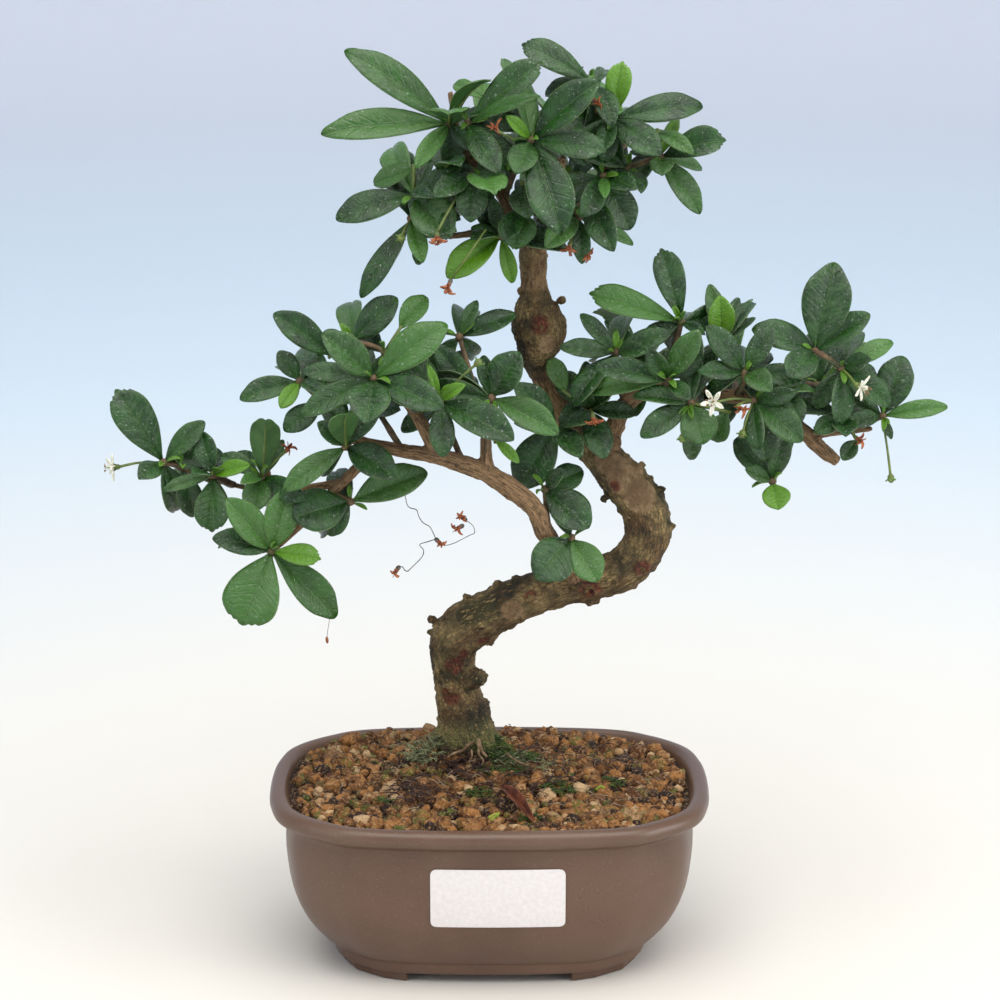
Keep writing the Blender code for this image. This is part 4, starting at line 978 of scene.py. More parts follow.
def thin_slab(across, along):
    """A grid from -1 to 1 across and 0 to 1 along, with its upper face at 0 and its lower face at -1."""
    shape = bmesh.new()
    bmesh.ops.create_grid(shape, x_segments=across, y_segments=along, size=1.0)
    for vertex in shape.verts:
        vertex.co.y = (vertex.co.y + 1.0) / 2
    if sum(face.normal.z for face in shape.faces) < 0.0:
        bmesh.ops.reverse_faces(shape, faces=shape.faces)
    bmesh.ops.solidify(shape, geom=shape.faces[:], thickness=1.0)
    shape.normal_update()
    high = max(vertex.co.z for vertex in shape.verts)
    for vertex in shape.verts:
        vertex.co.z -= high
    for face in shape.faces:
        face.smooth = True
        face.material_index = 1 if face.normal.z < -0.5 else 0
    mesh = bpy.data.meshes.new("leaf_slab")
    shape.to_mesh(mesh)
    shape.free()
    return mesh


LEAF_SLAB = thin_slab(ACROSS, ALONG)
INNER_SLAB = thin_slab(8, 9)
SMALL_SLAB = thin_slab(4, 5)
print("faces of a leaf:", len(LEAF_SLAB.polygons), "of a small one:", len(SMALL_SLAB.polygons))

# %% [markdown]
# The outline is read from a few shares of the leaf's length and width, with a smooth curve between
# them. The end of the blade is an arc that the last row of the grid follows, and where a leaf has
# teeth, every second corner of that row stands back.

# %% Outlines
PLAIN_EDGE = (
    (0.0, 0.03), (0.06, 0.085), (0.18, 0.24), (0.36, 0.42), (0.56, 0.50), (0.76, 0.44), (0.91, 0.25),
)
BROAD_EDGE = (
    (0.0, 0.04), (0.06, 0.11), (0.18, 0.29), (0.36, 0.45), (0.54, 0.50), (0.74, 0.45), (0.89, 0.29),
)
TOOTHED_EDGE = (
    (0.0, 0.03), (0.06, 0.08), (0.18, 0.22), (0.40, 0.42), (0.62, 0.50), (0.79, 0.465), (0.90, 0.34),
)
# How far out the end of a toothed blade reaches, from the midrib to its edge
TOOTHED_END = (
    (0.0, 1.0), (0.17, 0.99), (0.34, 0.955), (0.50, 0.962), (0.67, 0.925), (0.84, 0.93), (1.0, 0.90),
)
SMALL_LEAF = 29.0


def smooth_value(table, share):
    """A smooth curve through the table's pairs, by the slopes between its neighbours."""
    k = sum(share > x for x, _ in table[1:-1])
    (x0, y0), (x1, y1) = table[k], table[k + 1]
    before, after = table[max(k - 1, 0)], table[min(k + 2, len(table) - 1)]
    step = x1 - x0
    t = min(1.0, max(0.0, (share - x0) / step))
    rise = (y1 - before[1]) / (x1 - before[0]) * step
    fall = (after[1] - y0) / (after[0] - x0) * step
    return ((2 * t**3 - 3 * t**2 + 1) * y0 + (t**3 - 2 * t**2 + t) * rise
            + (3 * t**2 - 2 * t**3) * y1 + (t**3 - t**2) * fall)


def leaf_edge(leaf):
    """The outline of this leaf's kind."""
    if leaf["kind"] in TOOTHED_KINDS:
        return TOOTHED_EDGE
    if leaf["kind"] == HIDDEN_KIND or (leaf["tip"] - leaf["base"]).length < SMALL_LEAF:
        return BROAD_EDGE
    return PLAIN_EDGE


def end_of_blade(leaf, across):
    """How far along the leaf its end reaches at a share of its width."""
    if leaf["kind"] in TOOTHED_KINDS:
        return smooth_value(TOOTHED_END, abs(across))
    corner = leaf_edge(leaf)[-1][0]
    return corner + (1.0 - corner) * (1.0 - across * across)

# %% [markdown]
# Each corner of the slab knows how far across the blade it is, how far along and on which face. From
# these come its place on the outline, the fold's rise beside the midrib, the arch along it, a
# slight wave of the margin and the turned-down tip.

# %% Shaping a leaf
MARGIN_WAVE = 0.035
TIP_CURL = 0.040
EDGE_TURN = 0.05
RIB_GROOVE = 0.035
FOLD_MORE = 1.45


def on_leaf(leaf, across, t, level, wave_turn=0.0):
    """The place on the blade at a share across, a share along and a level from its upper face."""
    run = leaf["tip"] - leaf["base"]
    length, width = run.length, leaf["width"]
    along = run / length
    side = along.cross(leaf["normal"])
    edge = leaf_edge(leaf)
    fold = leaf["fold"] * FOLD_MORE
    share = t * (1.0 - t * (1.0 - end_of_blade(leaf, across)))
    reach = across * smooth_value(edge, t * edge[-1][0]) * width
    lift = abs(reach) * math.sin(fold) + leaf["arch"] * length * 4.0 * share * (1.0 - share)
    swing = math.sin(5.5 * share + wave_turn + (1.5 if across > 0.0 else 0.0))
    lift += MARGIN_WAVE * width * across * across * swing
    lift -= RIB_GROOVE * width * math.exp(-abs(across) / 0.12)
    lift -= EDGE_TURN * width * across**4 + TIP_CURL * length * max(0.0, share - 0.7) ** 2 / 0.09
    slope = leaf["arch"] * 4.0 * (1.0 - 2.0 * share)
    up = (leaf["normal"] - along * slope).normalized()
    place = leaf["base"] + run * share + side * reach * math.cos(fold) + leaf["normal"] * lift
    return place + up * (level + 0.5) * BLADE_THICKNESS


# %% [markdown]
# ## Filling the pads
# The tree is pinched back all year, so its foliage is dense: behind the leaves that show, smaller ones
# stand in their shade and let little light through. They are tried at every hub, and a leaf is kept
# where it ends inside a pad of foliage and clears the other leaves and the wood.

# %% Inner leaves
# The full parts of the foliage: middle across and up, half width and half height
PADS = (
    (16.0, 278.0, 37.0, 26.0), (-24.0, 206.0, 49.0, 22.0),
    (80.0, 206.0, 56.0, 22.0), (-79.0, 165.0, 32.0, 19.0),
)
PAD_MIDDLE, PAD_DEPTH = 6.0, 34.0
INNER_TRIES = 60
INNER_PER_HUB = 4
INNER_LENGTH = (13.0, 23.0)
INNER_LEAN = Vector((0.0, 0.35, -0.1))
LEAF_CLEARANCE = 1.9
CHECK_SPOTS = tuple(product((-0.7, 0.0, 0.7), (0.35, 0.6, 0.85)))


def in_pad(point):
    """Whether a place lies in one of the full parts."""
    if abs(point.y - PAD_MIDDLE) > PAD_DEPTH:
        return False
    return any(math.hypot((point.x - x) / wide, (point.z - z) / high) < 1.0 for x, z, wide, high in PADS)


def leaf_spots(leaf):
    """Nine places spread over a blade; the fourth to sixth lie on its midrib."""
    return [on_leaf(leaf, across, t, -0.5) for across, t in CHECK_SPOTS]


def lookup_of(points):
    lookup = KDTree(len(points))
    for index, point in enumerate(points):
        lookup.insert(point, index)
    lookup.balance()
    return lookup


def inner_leaf(hub, taken, draw):
    """A small leaf from this hub that clears all others, or None."""
    for _ in range(INNER_TRIES):
        way = (Vector([draw.gauss(0.0, 1.0) for _ in range(3)]).normalized() + INNER_LEAN).normalized()
        length = draw.uniform(*INNER_LENGTH)
        base = hub + way * LEAF_ROOT
        if not in_pad(base + way * length):
            continue
        width = length * draw.uniform(0.42, 0.52)
        leaf = new_leaf(base, base + way * length, width, HIDDEN_KIND, LEAF_FACE,
                        draw.uniform(-35, 35), draw.uniform(0.15, 0.4), draw.uniform(0.03, 0.10))
        spots = leaf_spots(leaf)
        if any(taken.find(spot)[2] < LEAF_CLEARANCE for spot in spots):
            continue
        if all(nearest_wood(spot)[0] > 1.0 for spot in spots[3:6]):
            return leaf
    return None


def find_inner_leaves(draw):
    """The inner leaves of every spray."""
    points = [spot for leaves in LEAVES.values() for leaf in leaves for spot in leaf_spots(leaf)]
    inner = {name: [] for name in SPRAYS}
    for name, hubs in HUBS.items():
        for hub in [hub for hub in hubs for _ in range(INNER_PER_HUB)]:
            leaf = inner_leaf(hub, lookup_of(points), draw)
            if leaf:
                inner[name].append(leaf)
                points += leaf_spots(leaf)
    return inner


INNER_LEAVES = find_inner_leaves(random.Random(33))
print("inner leaves:", sum(len(leaves) for leaves in INNER_LEAVES.values()))

# %% [markdown]
# The finish has to know where on its leaf a corner lies, and that is lost once the corners are
# moved. So both are written down on the way: the place on the leaf, and how this leaf looks.

# %% Adding a leaf to a spray
def shape_leaf(shape, slab, leaf, tone):
    """Adds one leaf to the spray's mesh, and writes where on the leaf each of its corners is."""
    known = set(shape.verts)
    shape.from_mesh(slab)
    spot_layer = shape.verts.layers.float_vector["leaf_spot"]
    look_layer = shape.verts.layers.float_vector["leaf_look"]
    young = 1.0 if leaf["kind"] in YOUNG_KINDS else 0.0
    look = (tone, young, (leaf["tip"] - leaf["base"]).length / 50.0)
    for vertex in [vertex for vertex in shape.verts if vertex not in known]:
        spot = vertex.co.copy()
        vertex.co = on_leaf(leaf, spot.x, spot.y, spot.z, 7.0 * tone)
        vertex[spot_layer] = spot
        vertex[look_layer] = look


def new_spray_shape():
    """An empty mesh that records for each corner where on its leaf it lies and how the leaf looks."""
    shape = bmesh.new()
    shape.verts.layers.float_vector.new("leaf_spot")
    shape.verts.layers.float_vector.new("leaf_look")
    return shape


def finish_piece(name, shape, finishes, nodes=()):
    """Turns a bmesh in millimetres into a piece in the row's frame, which no wavy edge may leave."""
    bmesh.ops.transform(shape, matrix=TO_ROW, verts=shape.verts)
    for vertex in shape.verts:
        vertex.co = [min(max(value, low), high) for value, low, high in zip(vertex.co, *CAD_BOX)]
    mesh = bpy.data.meshes.new(name)
    shape.to_mesh(mesh)
    shape.free()
    for finish in finishes:
        mesh.materials.append(finish)
    piece = bpy.data.objects.new(name, mesh)
    bpy.context.scene.collection.objects.link(piece)
    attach(piece, "root")
    if nodes:
        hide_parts(*nodes)
    return piece

# %% [markdown]
# ## The finish of the leaves
# Seen close, the upper face is a deep green leather. What makes it look grey from some sides is its gloss:
# a soft light from above is spread by fine wrinkles that run across the blade. On about half the leaves
# grey-green streaks are painted along those wrinkles, partly a dusty film and partly painted sheen. White
# specks of dried water lie on it, the midrib is a thin pale line and the very edge is pale, partly the
# margin's own lighter green and partly painted highlight where light catches the rim. The pattern follows
# the blade, so it reads where on the leaf a corner lies, and a number drawn for each leaf keeps any two
# from looking alike.

# %% Patterns on a leaf
def leaf_patterns(tree):
    """The masks that both faces of a leaf share: midrib, veins, edge, wrinkles, blotches, tone, young."""
    spot = add_node(tree, "Attribute", attribute_name="leaf_spot").outputs["Vector"]
    look = add_node(tree, "Attribute", attribute_name="leaf_look").outputs["Vector"]
    place = add_node(tree, "TexCoord").outputs["Object"]
    on_blade = add_node(tree, "SeparateXYZ", {0: spot})
    of_leaf = add_node(tree, "SeparateXYZ", {0: look})
    out = math_node(tree, "ABSOLUTE", on_blade.outputs["X"])
    slant = math_node(tree, "MULTIPLY", out, 0.22)
    rows = math_node(tree, "MULTIPLY", math_node(tree, "SUBTRACT", on_blade.outputs["Y"], slant), 7.0)
    veins = between(tree, math_node(tree, "PINGPONG", rows, 0.5), 0.0, 0.12, 1.0, 0.0)
    own = math_node(tree, "MULTIPLY", of_leaf.outputs["X"], 40.0)
    sideways = math_node(tree, "MULTIPLY", out, 2.6)
    onward = math_node(tree, "MULTIPLY", math_node(tree, "SUBTRACT", on_blade.outputs["Y"], slant), 15.0)
    wrinkle_place = add_node(tree, "CombineXYZ", {0: sideways, 1: onward, 2: own}).outputs[0]
    return {
        "rib": between(tree, out, 0.012, 0.055, 1.0, 0.0),
        "veins": math_node(tree, "MULTIPLY", veins, between(tree, out, 0.5, 0.9, 1.0, 0.0)),
        "edge": between(tree, out, 0.955, 0.995),
        "wrinkles": grain(tree, wrinkle_place, 1.0, 6.0, 0.65),
        "blotches": grain(tree, place, 170.0, 5.0, 0.6),
        "specks": grain(tree, place, 1300.0, 2.0, 0.5),
        "leather": grain(tree, place, 1000.0, 4.0, 0.65),
        "tone": of_leaf.outputs["X"],
        # film picks about half the leaves for grey-green streaks, partly a dusty film and partly painted
        # sheen
        "film": between(tree, math_node(tree, "FRACT", math_node(tree, "MULTIPLY", own, 0.19)), 0.35, 0.75),
        "young": of_leaf.outputs["Y"],
    }


# %% The upper face
LEAF_TOP, tree, shader = new_finish("leaf_upper_face", 0.3)
on = leaf_patterns(tree)
blotches = between(tree, on["blotches"], 0.35, 0.65)
colour = blend(tree, blotches, (0.004, 0.028, 0.002), (0.013, 0.066, 0.005))
# Each leaf's own tone lightens its green; the inner leaves get only low tones, which is painted shade
tone = math_node(tree, "MULTIPLY", between(tree, on["tone"], 0.40, 1.0), 0.80)
colour = blend(tree, tone, colour, (0.060, 0.170, 0.022))
# Grey-green streaks along the wrinkles: partly a dusty film, partly painted sheen of the light from above
film_and_sheen_streaks = math_node(tree, "MULTIPLY", between(tree, on["wrinkles"], 0.44, 0.62), on["film"])
colour = blend(tree, math_node(tree, "MULTIPLY", film_and_sheen_streaks, 0.16), colour, (0.150, 0.215, 0.115))
colour = blend(tree, math_node(tree, "MULTIPLY", on["young"], 0.90), colour, (0.095, 0.240, 0.008))
colour = blend(tree, math_node(tree, "MULTIPLY", on["veins"], 0.05), colour, (0.11, 0.20, 0.07))
colour = blend(tree, math_node(tree, "MULTIPLY", on["rib"], 0.26), colour, (0.12, 0.23, 0.07))
# The pale edge is partly the margin's own lighter green and partly painted highlight where light catches
# the rim
colour = blend(tree, math_node(tree, "MULTIPLY", on["edge"], 0.60), colour, (0.17, 0.25, 0.10))
speck = between(tree, on["specks"], 0.66, 0.73, 0.0, 0.6)
colour = blend(tree, speck, colour, (0.42, 0.46, 0.40))
tree.links.new(colour, shader.inputs["Base Color"])
tree.links.new(between(tree, on["wrinkles"], 0.35, 0.65, 0.20, 0.36), shader.inputs["Roughness"])
shader.inputs["Specular IOR Level"].default_value = 0.5
sunk_veins = math_node(tree, "MULTIPLY", on["veins"], -0.3)
sunk_rib = math_node(tree, "MULTIPLY", on["rib"], -0.8)
relief = math_node(tree, "ADD", sunk_veins, sunk_rib)
relief = math_node(tree, "ADD", relief, math_node(tree, "MULTIPLY", on["wrinkles"], 1.2))
relief = math_node(tree, "ADD", relief, math_node(tree, "MULTIPLY", on["leather"], 0.5))
raise_surface(tree, shader, relief, 0.6, 0.0007)

# %% The underside
LEAF_UNDER, tree, shader = new_finish("leaf_underside", 0.55)
on = leaf_patterns(tree)
blotches = between(tree, on["blotches"], 0.35, 0.65)
colour = blend(tree, blotches, (0.032, 0.095, 0.022), (0.055, 0.140, 0.032))
colour = blend(tree, math_node(tree, "MULTIPLY", on["young"], 0.85), colour, (0.10, 0.25, 0.03))
colour = blend(tree, math_node(tree, "MULTIPLY", on["veins"], 0.15), colour, (0.12, 0.22, 0.07))
# The pale edge is partly the margin's own lighter green and partly painted highlight where light catches
# the rim
colour = blend(tree, math_node(tree, "MULTIPLY", on["edge"], 0.5), colour, (0.20, 0.28, 0.11))
tree.links.new(colour, shader.inputs["Base Color"])
raise_surface(tree, shader, on["leather"], 0.4, 0.0003)

# %% [markdown]
# ## Twigs, stalks and buds
# A twig is thin bark near the wood and green towards its end. It thickens a little at each hub,
# where the leaves' short stalks meet. A tube is a circle that is extruded along a path, with each new
# ring turned square to the way it runs.

# %% A tube along a path
def frame_across(along):
    """Two directions square to a run and to each other."""
    across = along.cross(SKEW).normalized()
    return across, along.cross(across)


def curved_path(points, steps):
    """A smooth path through the points, each a place with a radius after it."""
    if len(points) < 3:
        return [tuple(point) for point in points]
    path = []
    for k in range(len(points) - 1):
        around = [points[max(k - 1, 0)], points[k], points[k + 1], points[min(k + 2, len(points) - 1)]]
        for step in range(steps):
            t = step / steps
            weights = (-0.5 * t**3 + t**2 - 0.5 * t, 1.5 * t**3 - 2.5 * t**2 + 1.0,
                       -1.5 * t**3 + 2.0 * t**2 + 0.5 * t, 0.5 * t**3 - 0.5 * t**2)
            path.append(tuple(sum(w * p[axis] for w, p in zip(weights, around)) for axis in range(4)))
    path.append(tuple(points[-1]))
    return path


def add_tube(shape, path, sides, material_index=0, swell=None):
    """A grid rolled up round the path, welded along its seam and closed at both ends."""
    rows = len(path) - 1
    rolled = bmesh.ops.create_grid(shape, x_segments=sides, y_segments=rows, size=1.0)["verts"]
    places = [Vector(point[:3]) for point in path]
    frames = []
    for k in range(len(path)):
        run = places[min(k + 1, rows)] - places[max(k - 1, 0)]
        frames.append(frame_across(run.normalized()))
    for vertex in rolled:
        turn = math.pi * (vertex.co.x + 1.0)
        row = round((vertex.co.y + 1.0) / 2 * rows)
        across, up = frames[row]
        reach = path[row][3] * (swell(turn, row) if swell else 1.0)
        vertex.co = places[row] + (across * math.cos(turn) + up * math.sin(turn)) * reach
    bmesh.ops.remove_doubles(shape, verts=rolled, dist=0.0001)
    rolled = [vertex for vertex in rolled if vertex.is_valid]
    rims = {edge for vertex in rolled for edge in vertex.link_edges if edge.is_boundary}
    ends = bmesh.ops.edgeloop_fill(shape, edges=list(rims))["faces"]
    faces = {face for vertex in rolled for face in vertex.link_faces}
    bmesh.ops.recalc_face_normals(shape, faces=list(faces))
    for face in faces:
        face.material_index = material_index
        face.smooth = face not in ends
    return rolled

# %% [markdown]
# The twigs' finish is a thin brown bark that is greenish in places. The stalks and the buds' own green
# is yellower than the leaves', because they are new growth.

# %% Twig and stalk finishes
TWIG_BARK, tree, shader = new_finish("twig_bark", 0.75)
place = add_node(tree, "TexCoord").outputs["Object"]
mottle = between(tree, grain(tree, place, 350.0), 0.35, 0.65)
colour = blend(tree, mottle, (0.055, 0.032, 0.014), (0.16, 0.10, 0.05))
colour = blend(tree, between(tree, grain(tree, place, 130.0), 0.50, 0.68), colour, (0.075, 0.085, 0.022))
tree.links.new(colour, shader.inputs["Base Color"])
raise_surface(tree, shader, grain(tree, place, 1800.0), 0.6, 0.0004)

GREEN_STALK, tree, shader = new_finish("green_stalk", 0.5)
place = add_node(tree, "TexCoord").outputs["Object"]
mottle = between(tree, grain(tree, place, 260.0), 0.35, 0.65)
colour = blend(tree, mottle, (0.075, 0.11, 0.020), (0.14, 0.19, 0.035))
colour = blend(tree, between(tree, grain(tree, place, 900.0), 0.58, 0.72), colour, (0.16, 0.12, 0.04))
tree.links.new(colour, shader.inputs["Base Color"])

# %% [markdown]
# ## The sprays
# Each spray replaces its plain solid. It gets its twig, a knob at each hub with a few tiny new leaves,
# the leaves themselves with a stalk that runs on under the blade as its midrib, and the green buds
# on their thin stalks. One random stream, seeded once, gives each leaf its own tone.

# %% Parts of a spray
STALK_RADIUS = 0.62
PEDICEL_RADIUS = 0.42
TWIG_TAPER = 0.85
# Where the twigs' bark and the green of the stalks stand in a spray's list of finishes
TWIG, STALK = 2, 3
# A midrib's way: share along the blade, share of its thickness and how deep it lies under the blade
MIDRIB = ((0.02, 1.15, 0.5), (0.10, 0.95, 0.8), (0.30, 0.75, 1.0), (0.60, 0.5, 0.9), (0.88, 0.22, 0.6))
# The brightest tone that a leaf may have, in the shade of the pads and outside: the inner leaves' darker
# colour is painted shade
SHADED_TONE, OPEN_TONE = 0.55, 1.0


def run_into_wood(root, hub):
    """The twig's start: on its way from the hub to its root, a little way inside the bark."""
    steps = 60
    for k in range(steps + 1):
        spot = hub.lerp(root, k / steps)
        if nearest_wood(spot)[0] < -0.6:
            return spot
    return root


def add_twig(shape, name):
    """The twig through all of the spray's hubs, thinner towards its end."""
    hubs = HUBS[name]
    start = run_into_wood(Vector(SPRAYS[name][0]), hubs[0])
    joints = [start] + hubs
    points = [(*joint, TWIG_RADIUS * TWIG_TAPER ** k) for k, joint in enumerate(joints)]
    if len(points) == 2:
        middle = start.lerp(hubs[0], 0.5)
        points.insert(1, (*middle, TWIG_RADIUS * 0.94))
    path = curved_path(points, 4)
    draw = random.Random(name)
    path = [(x, y, z, r * draw.uniform(0.9, 1.12)) for x, y, z, r in path]
    add_tube(shape, path, 8, TWIG)


def add_knob(shape, place, radius, stretch, along, material_index):
    """A small rounded bud, longer along one way."""
    turn = along.to_track_quat("Z", "Y").to_matrix().to_4x4()
    grow = Matrix.Translation(place) @ turn @ Matrix.Diagonal((radius, radius, radius * stretch, 1.0))
    made = bmesh.ops.create_icosphere(shape, subdivisions=2, radius=1.0, matrix=grow)["verts"]
    for face in {face for vertex in made for face in vertex.link_faces}:
        face.material_index = material_index
        face.smooth = True
    return made


def add_new_leaves(shape, hub, draw, count):
    """Tiny bright leaves between the large ones."""
    for _ in range(count):
        way = Vector((draw.gauss(0, 1), draw.gauss(0, 1) - 0.4, draw.gauss(0, 1) + 0.5)).normalized()
        length = draw.uniform(3.5, 7.0)
        base = hub + way * 1.1
        leaf = new_leaf(base, base + way * length, length * 0.42, 2, Vector((0.0, -0.5, 0.8)),
                        draw.uniform(-40, 40), draw.uniform(0.3, 0.6), draw.uniform(0.03, 0.12))
        shape_leaf(shape, SMALL_SLAB, leaf, draw.random())


def add_midrib(shape, leaf, hub):
    """The stalk from the hub, which runs on under the blade and thins out."""
    length = (leaf["tip"] - leaf["base"]).length
    thick = 0.30 + 0.007 * length
    path = []
    if (leaf["base"] - hub).length < STALK_FROM:
        path.append((*hub.lerp(leaf["base"], 0.4), thick * 1.25))
    for t, share, depth in MIDRIB:
        under = -1.0 - depth * thick * share / BLADE_THICKNESS * 0.6
        path.append((*on_leaf(leaf, 0.0, t, under), thick * share))
    add_tube(shape, path, 6, STALK)


def add_bud(shape, place, along):
    """A green flower bud: a small egg with five splayed lobes round its foot."""
    add_knob(shape, place + along * 0.6, 1.25, 1.35, along, STALK)
    across, up = frame_across(along)
    for k in range(5):
        turn = 2 * math.pi * k / 5 + 0.3
        out = across * math.cos(turn) + up * math.sin(turn)
        base = place - along * 0.7
        leaf = new_leaf(base, base + (out * 0.8 + along * 0.9) * 2.4, 0.95, 2, along, 0.0, 0.35, 0.05)
        shape_leaf(shape, SMALL_SLAB, leaf, 0.2 + 0.1 * k)


def stalk_ends(name):
    """Where this spray's flower stalks end: just under a flower, or in a green bud."""
    ends = []
    for _, _, spray, place, way in FLOWERS:
        if spray == name:
            along = Vector(way).normalized()
            ends.append((Vector(place) - along * 0.2, along))
    ends += [(Vector(place), None) for spray, place in BUDS if spray == name]
    return ends


def add_pedicels(shape, name):
    """A thin, slightly bowed stalk to each flower and bud of the spray."""
    for place, along in stalk_ends(name):
        hub = min(HUBS[name], key=lambda spot: (spot - place).length)
        middle = hub.lerp(place, 0.55) + Vector((0.0, 0.0, 0.05 * (place - hub).length))
        points = ((*hub, PEDICEL_RADIUS * 1.1), (*middle, PEDICEL_RADIUS), (*place, PEDICEL_RADIUS * 1.2))
        add_tube(shape, curved_path(points, 4), 6, STALK)
        if along is None:
            add_bud(shape, place, (place - hub).normalized())


# %% Making the sprays
def make_spray(name, draw):
    shape = new_spray_shape()
    for leaf in LEAVES[name] + INNER_LEAVES[name]:
        inner = leaf in INNER_LEAVES[name]
        # Inner leaves get only the darker tones: painted shade
        slab, brightest = (INNER_SLAB, SHADED_TONE) if inner else (LEAF_SLAB, OPEN_TONE)
        shape_leaf(shape, slab, leaf, draw.random() * brightest)
        hub = min(HUBS[name], key=lambda spot: (spot - leaf["base"]).length)
        add_midrib(shape, leaf, hub)
        if (leaf["base"] - hub).length >= STALK_FROM:
            run = (leaf["base"] - hub).normalized()
            path = [(*hub, STALK_RADIUS * 1.2), (*(leaf["base"] + run * 1.5), STALK_RADIUS)]
            add_tube(shape, path, 6, STALK)
    add_twig(shape, name)
    for hub in HUBS[name]:
        add_knob(shape, hub, 1.45, 1.1, (hub - Vector(SPRAYS[name][0])).normalized(), TWIG)
        add_new_leaves(shape, hub, draw, 3)
    add_pedicels(shape, name)
    finishes = (LEAF_TOP, LEAF_UNDER, TWIG_BARK, GREEN_STALK)
    return finish_piece(name + "_leaves", shape, finishes, (name,))


draw = random.Random(5)
sprays = [make_spray(name, draw) for name in SPRAYS]
print("sprays:", len(sprays), "faces:", sum(len(piece.data.polygons) for piece in sprays))

# %% [markdown]
# ## The trunk
# All of the wood is one living thing, so it has to be one skin. Tubes follow the limbs, a lobed
# flare stands for the roots that spread at the soil, and a voxel remesh wraps everything in one even
# net. That closes each fork with a soft collar, as bark does.

# %% Tubes for the wood
# The roots' flare: height, radius and how far its lobes stand out
FLARE = (
    (50.0, 11.0, 0.0), (64.0, 11.4, 0.8), (68.5, 12.4, 1.7),
    (72.0, 11.2, 1.3), (77.0, 9.4, 0.5), (84.0, 8.2, 0.0),
)
FOOT_X, FOOT_Y = -8.0, 18.0
VOXEL = 0.58
THICK_LIMB = 6.0
# Knobs on the trunk where thin shoots were cut away: place and radius
KNOBS = (
    (62.7, 1.0, 154.2, 1.7),
    (59.0, 0.0, 167.8, 1.7),
    (52.4, 1.0, 176.1, 1.7),
    (43.5, 3.0, 183.4, 2.1),
    (39.4, 0.0, 164.2, 1.7),
    (47.0, -3.0, 158.3, 1.4),
    (0.2, 6.0, 110.7, 2.1),
    (2.7, 6.0, 131.6, 1.7),
    (8.9, 6.0, 133.8, 1.7),
    (-7.8, 7.0, 126.5, 1.7),
    (-20.2, 11.0, 117.1, 1.8),
    (24.5, 11.0, 232.1, 1.4),
    (10.9, 11.0, 234.9, 1.4),
    (11.9, 11.0, 239.4, 1.4),
    (19.3, 3.0, 132.6, 1.4),
    (35.3, 2.0, 126.7, 1.7),
    (37.1, 2.0, 126.7, 1.4),
    (-20.9, 12.0, 112.0, 1.4),
    (11.7, 4.0, 122.0, 1.4),
    (52.2, 0.0, 136.1, 1.4),
    (38.7, 4.0, 182.4, 1.7),
)


def flare_lobes(turn, row):
    """The roots' lobes at one height of the flare."""
    _, radius, lobe = FLARE[row]
    return 1.0 + (lobe * math.sin(3 * turn + 0.8) + 0.4 * lobe * math.cos(5 * turn)) / radius


def add_wood(shape):
    """Every limb as a tube, with the flare and the stub of an old branch."""
    for name, limb in LIMBS.items():
        sides = 24 if limb[0][3] > THICK_LIMB else 12
        add_tube(shape, curved_path(limb, 4), sides)
    flare = [(FOOT_X, FOOT_Y, z, radius) for z, radius, _ in FLARE]
    add_tube(shape, flare, 36, swell=flare_lobes)
    add_tube(shape, curved_path(BURR, 4), 12)
    for x, y, z, radius in KNOBS:
        grow = Matrix.Translation((x, y, z))
        bmesh.ops.create_icosphere(shape, subdivisions=2, radius=radius, matrix=grow)


def remeshed(shape, voxel):
    """One even skin round everything in the shape."""
    mesh = bpy.data.meshes.new("wood")
    shape.to_mesh(mesh)
    shape.free()
    wood = bpy.data.objects.new("wood", mesh)
    bpy.context.scene.collection.objects.link(wood)
    skin = wood.modifiers.new("skin", "REMESH")
    skin.mode = "VOXEL"
    skin.voxel_size = voxel
    graph = bpy.context.evaluated_depsgraph_get()
    result = bmesh.new()
    result.from_mesh(wood.evaluated_get(graph).to_mesh())
    bpy.data.objects.remove(wood, do_unlink=True)
    return result


wood_shape = bmesh.new()
add_wood(wood_shape)
wood_shape = remeshed(wood_shape, VOXEL)
bmesh.ops.smooth_vert(wood_shape, verts=wood_shape.verts, factor=0.5,
                      use_axis_x=True, use_axis_y=True, use_axis_z=True)
print("corners of the wood's skin:", len(wood_shape.verts))

# %% [markdown]
# The bark is rough in several ways at once. Broad lumps show where branches were cut off, warts and
# round scars stand out, and in between the surface is broken into scales of about a millimetre. The
# scales run with the limb, so every corner of the skin first finds its limb, and how far along
# and round it lies. The relief is real geometry, because it shows on the trunk's outline.

# %% Where a corner lies on its limb
def limb_samples():
    """Points along all limbs with the limb's frame, radius, number and distance from its start."""
    samples = []
    for number, limb in enumerate(LIMBS.values()):
        path = curved_path(limb, 6)
        along = 0.0
        for k, point in enumerate(path):
            before, after = path[max(k - 1, 0)], path[min(k + 1, len(path) - 1)]
            run = Vector(after[:3]) - Vector(before[:3])
            along += (Vector(point[:3]) - Vector(before[:3])).length
            samples.append((Vector(point[:3]), *frame_across(run.normalized()), point[3], number, along))
    return samples


SAMPLES = limb_samples()
SAMPLE_TREE = KDTree(len(SAMPLES))
for index, sample in enumerate(SAMPLES):
    SAMPLE_TREE.insert(sample[0], index)
SAMPLE_TREE.balance()


def on_limb(place):
    """The bark's own coordinates of a place, and its limb's radius there."""
    near = SAMPLE_TREE.find_n(place, 5)
    _, index, _ = min(near, key=lambda found: found[2] - SAMPLES[found[1]][3])
    centre, across, up, radius, number, along = SAMPLES[index]
    out = place - centre
    spot = Vector((out.dot(across), out.dot(up), along))
    return spot + Vector((31.0, 17.0, 23.0)) * number, radius


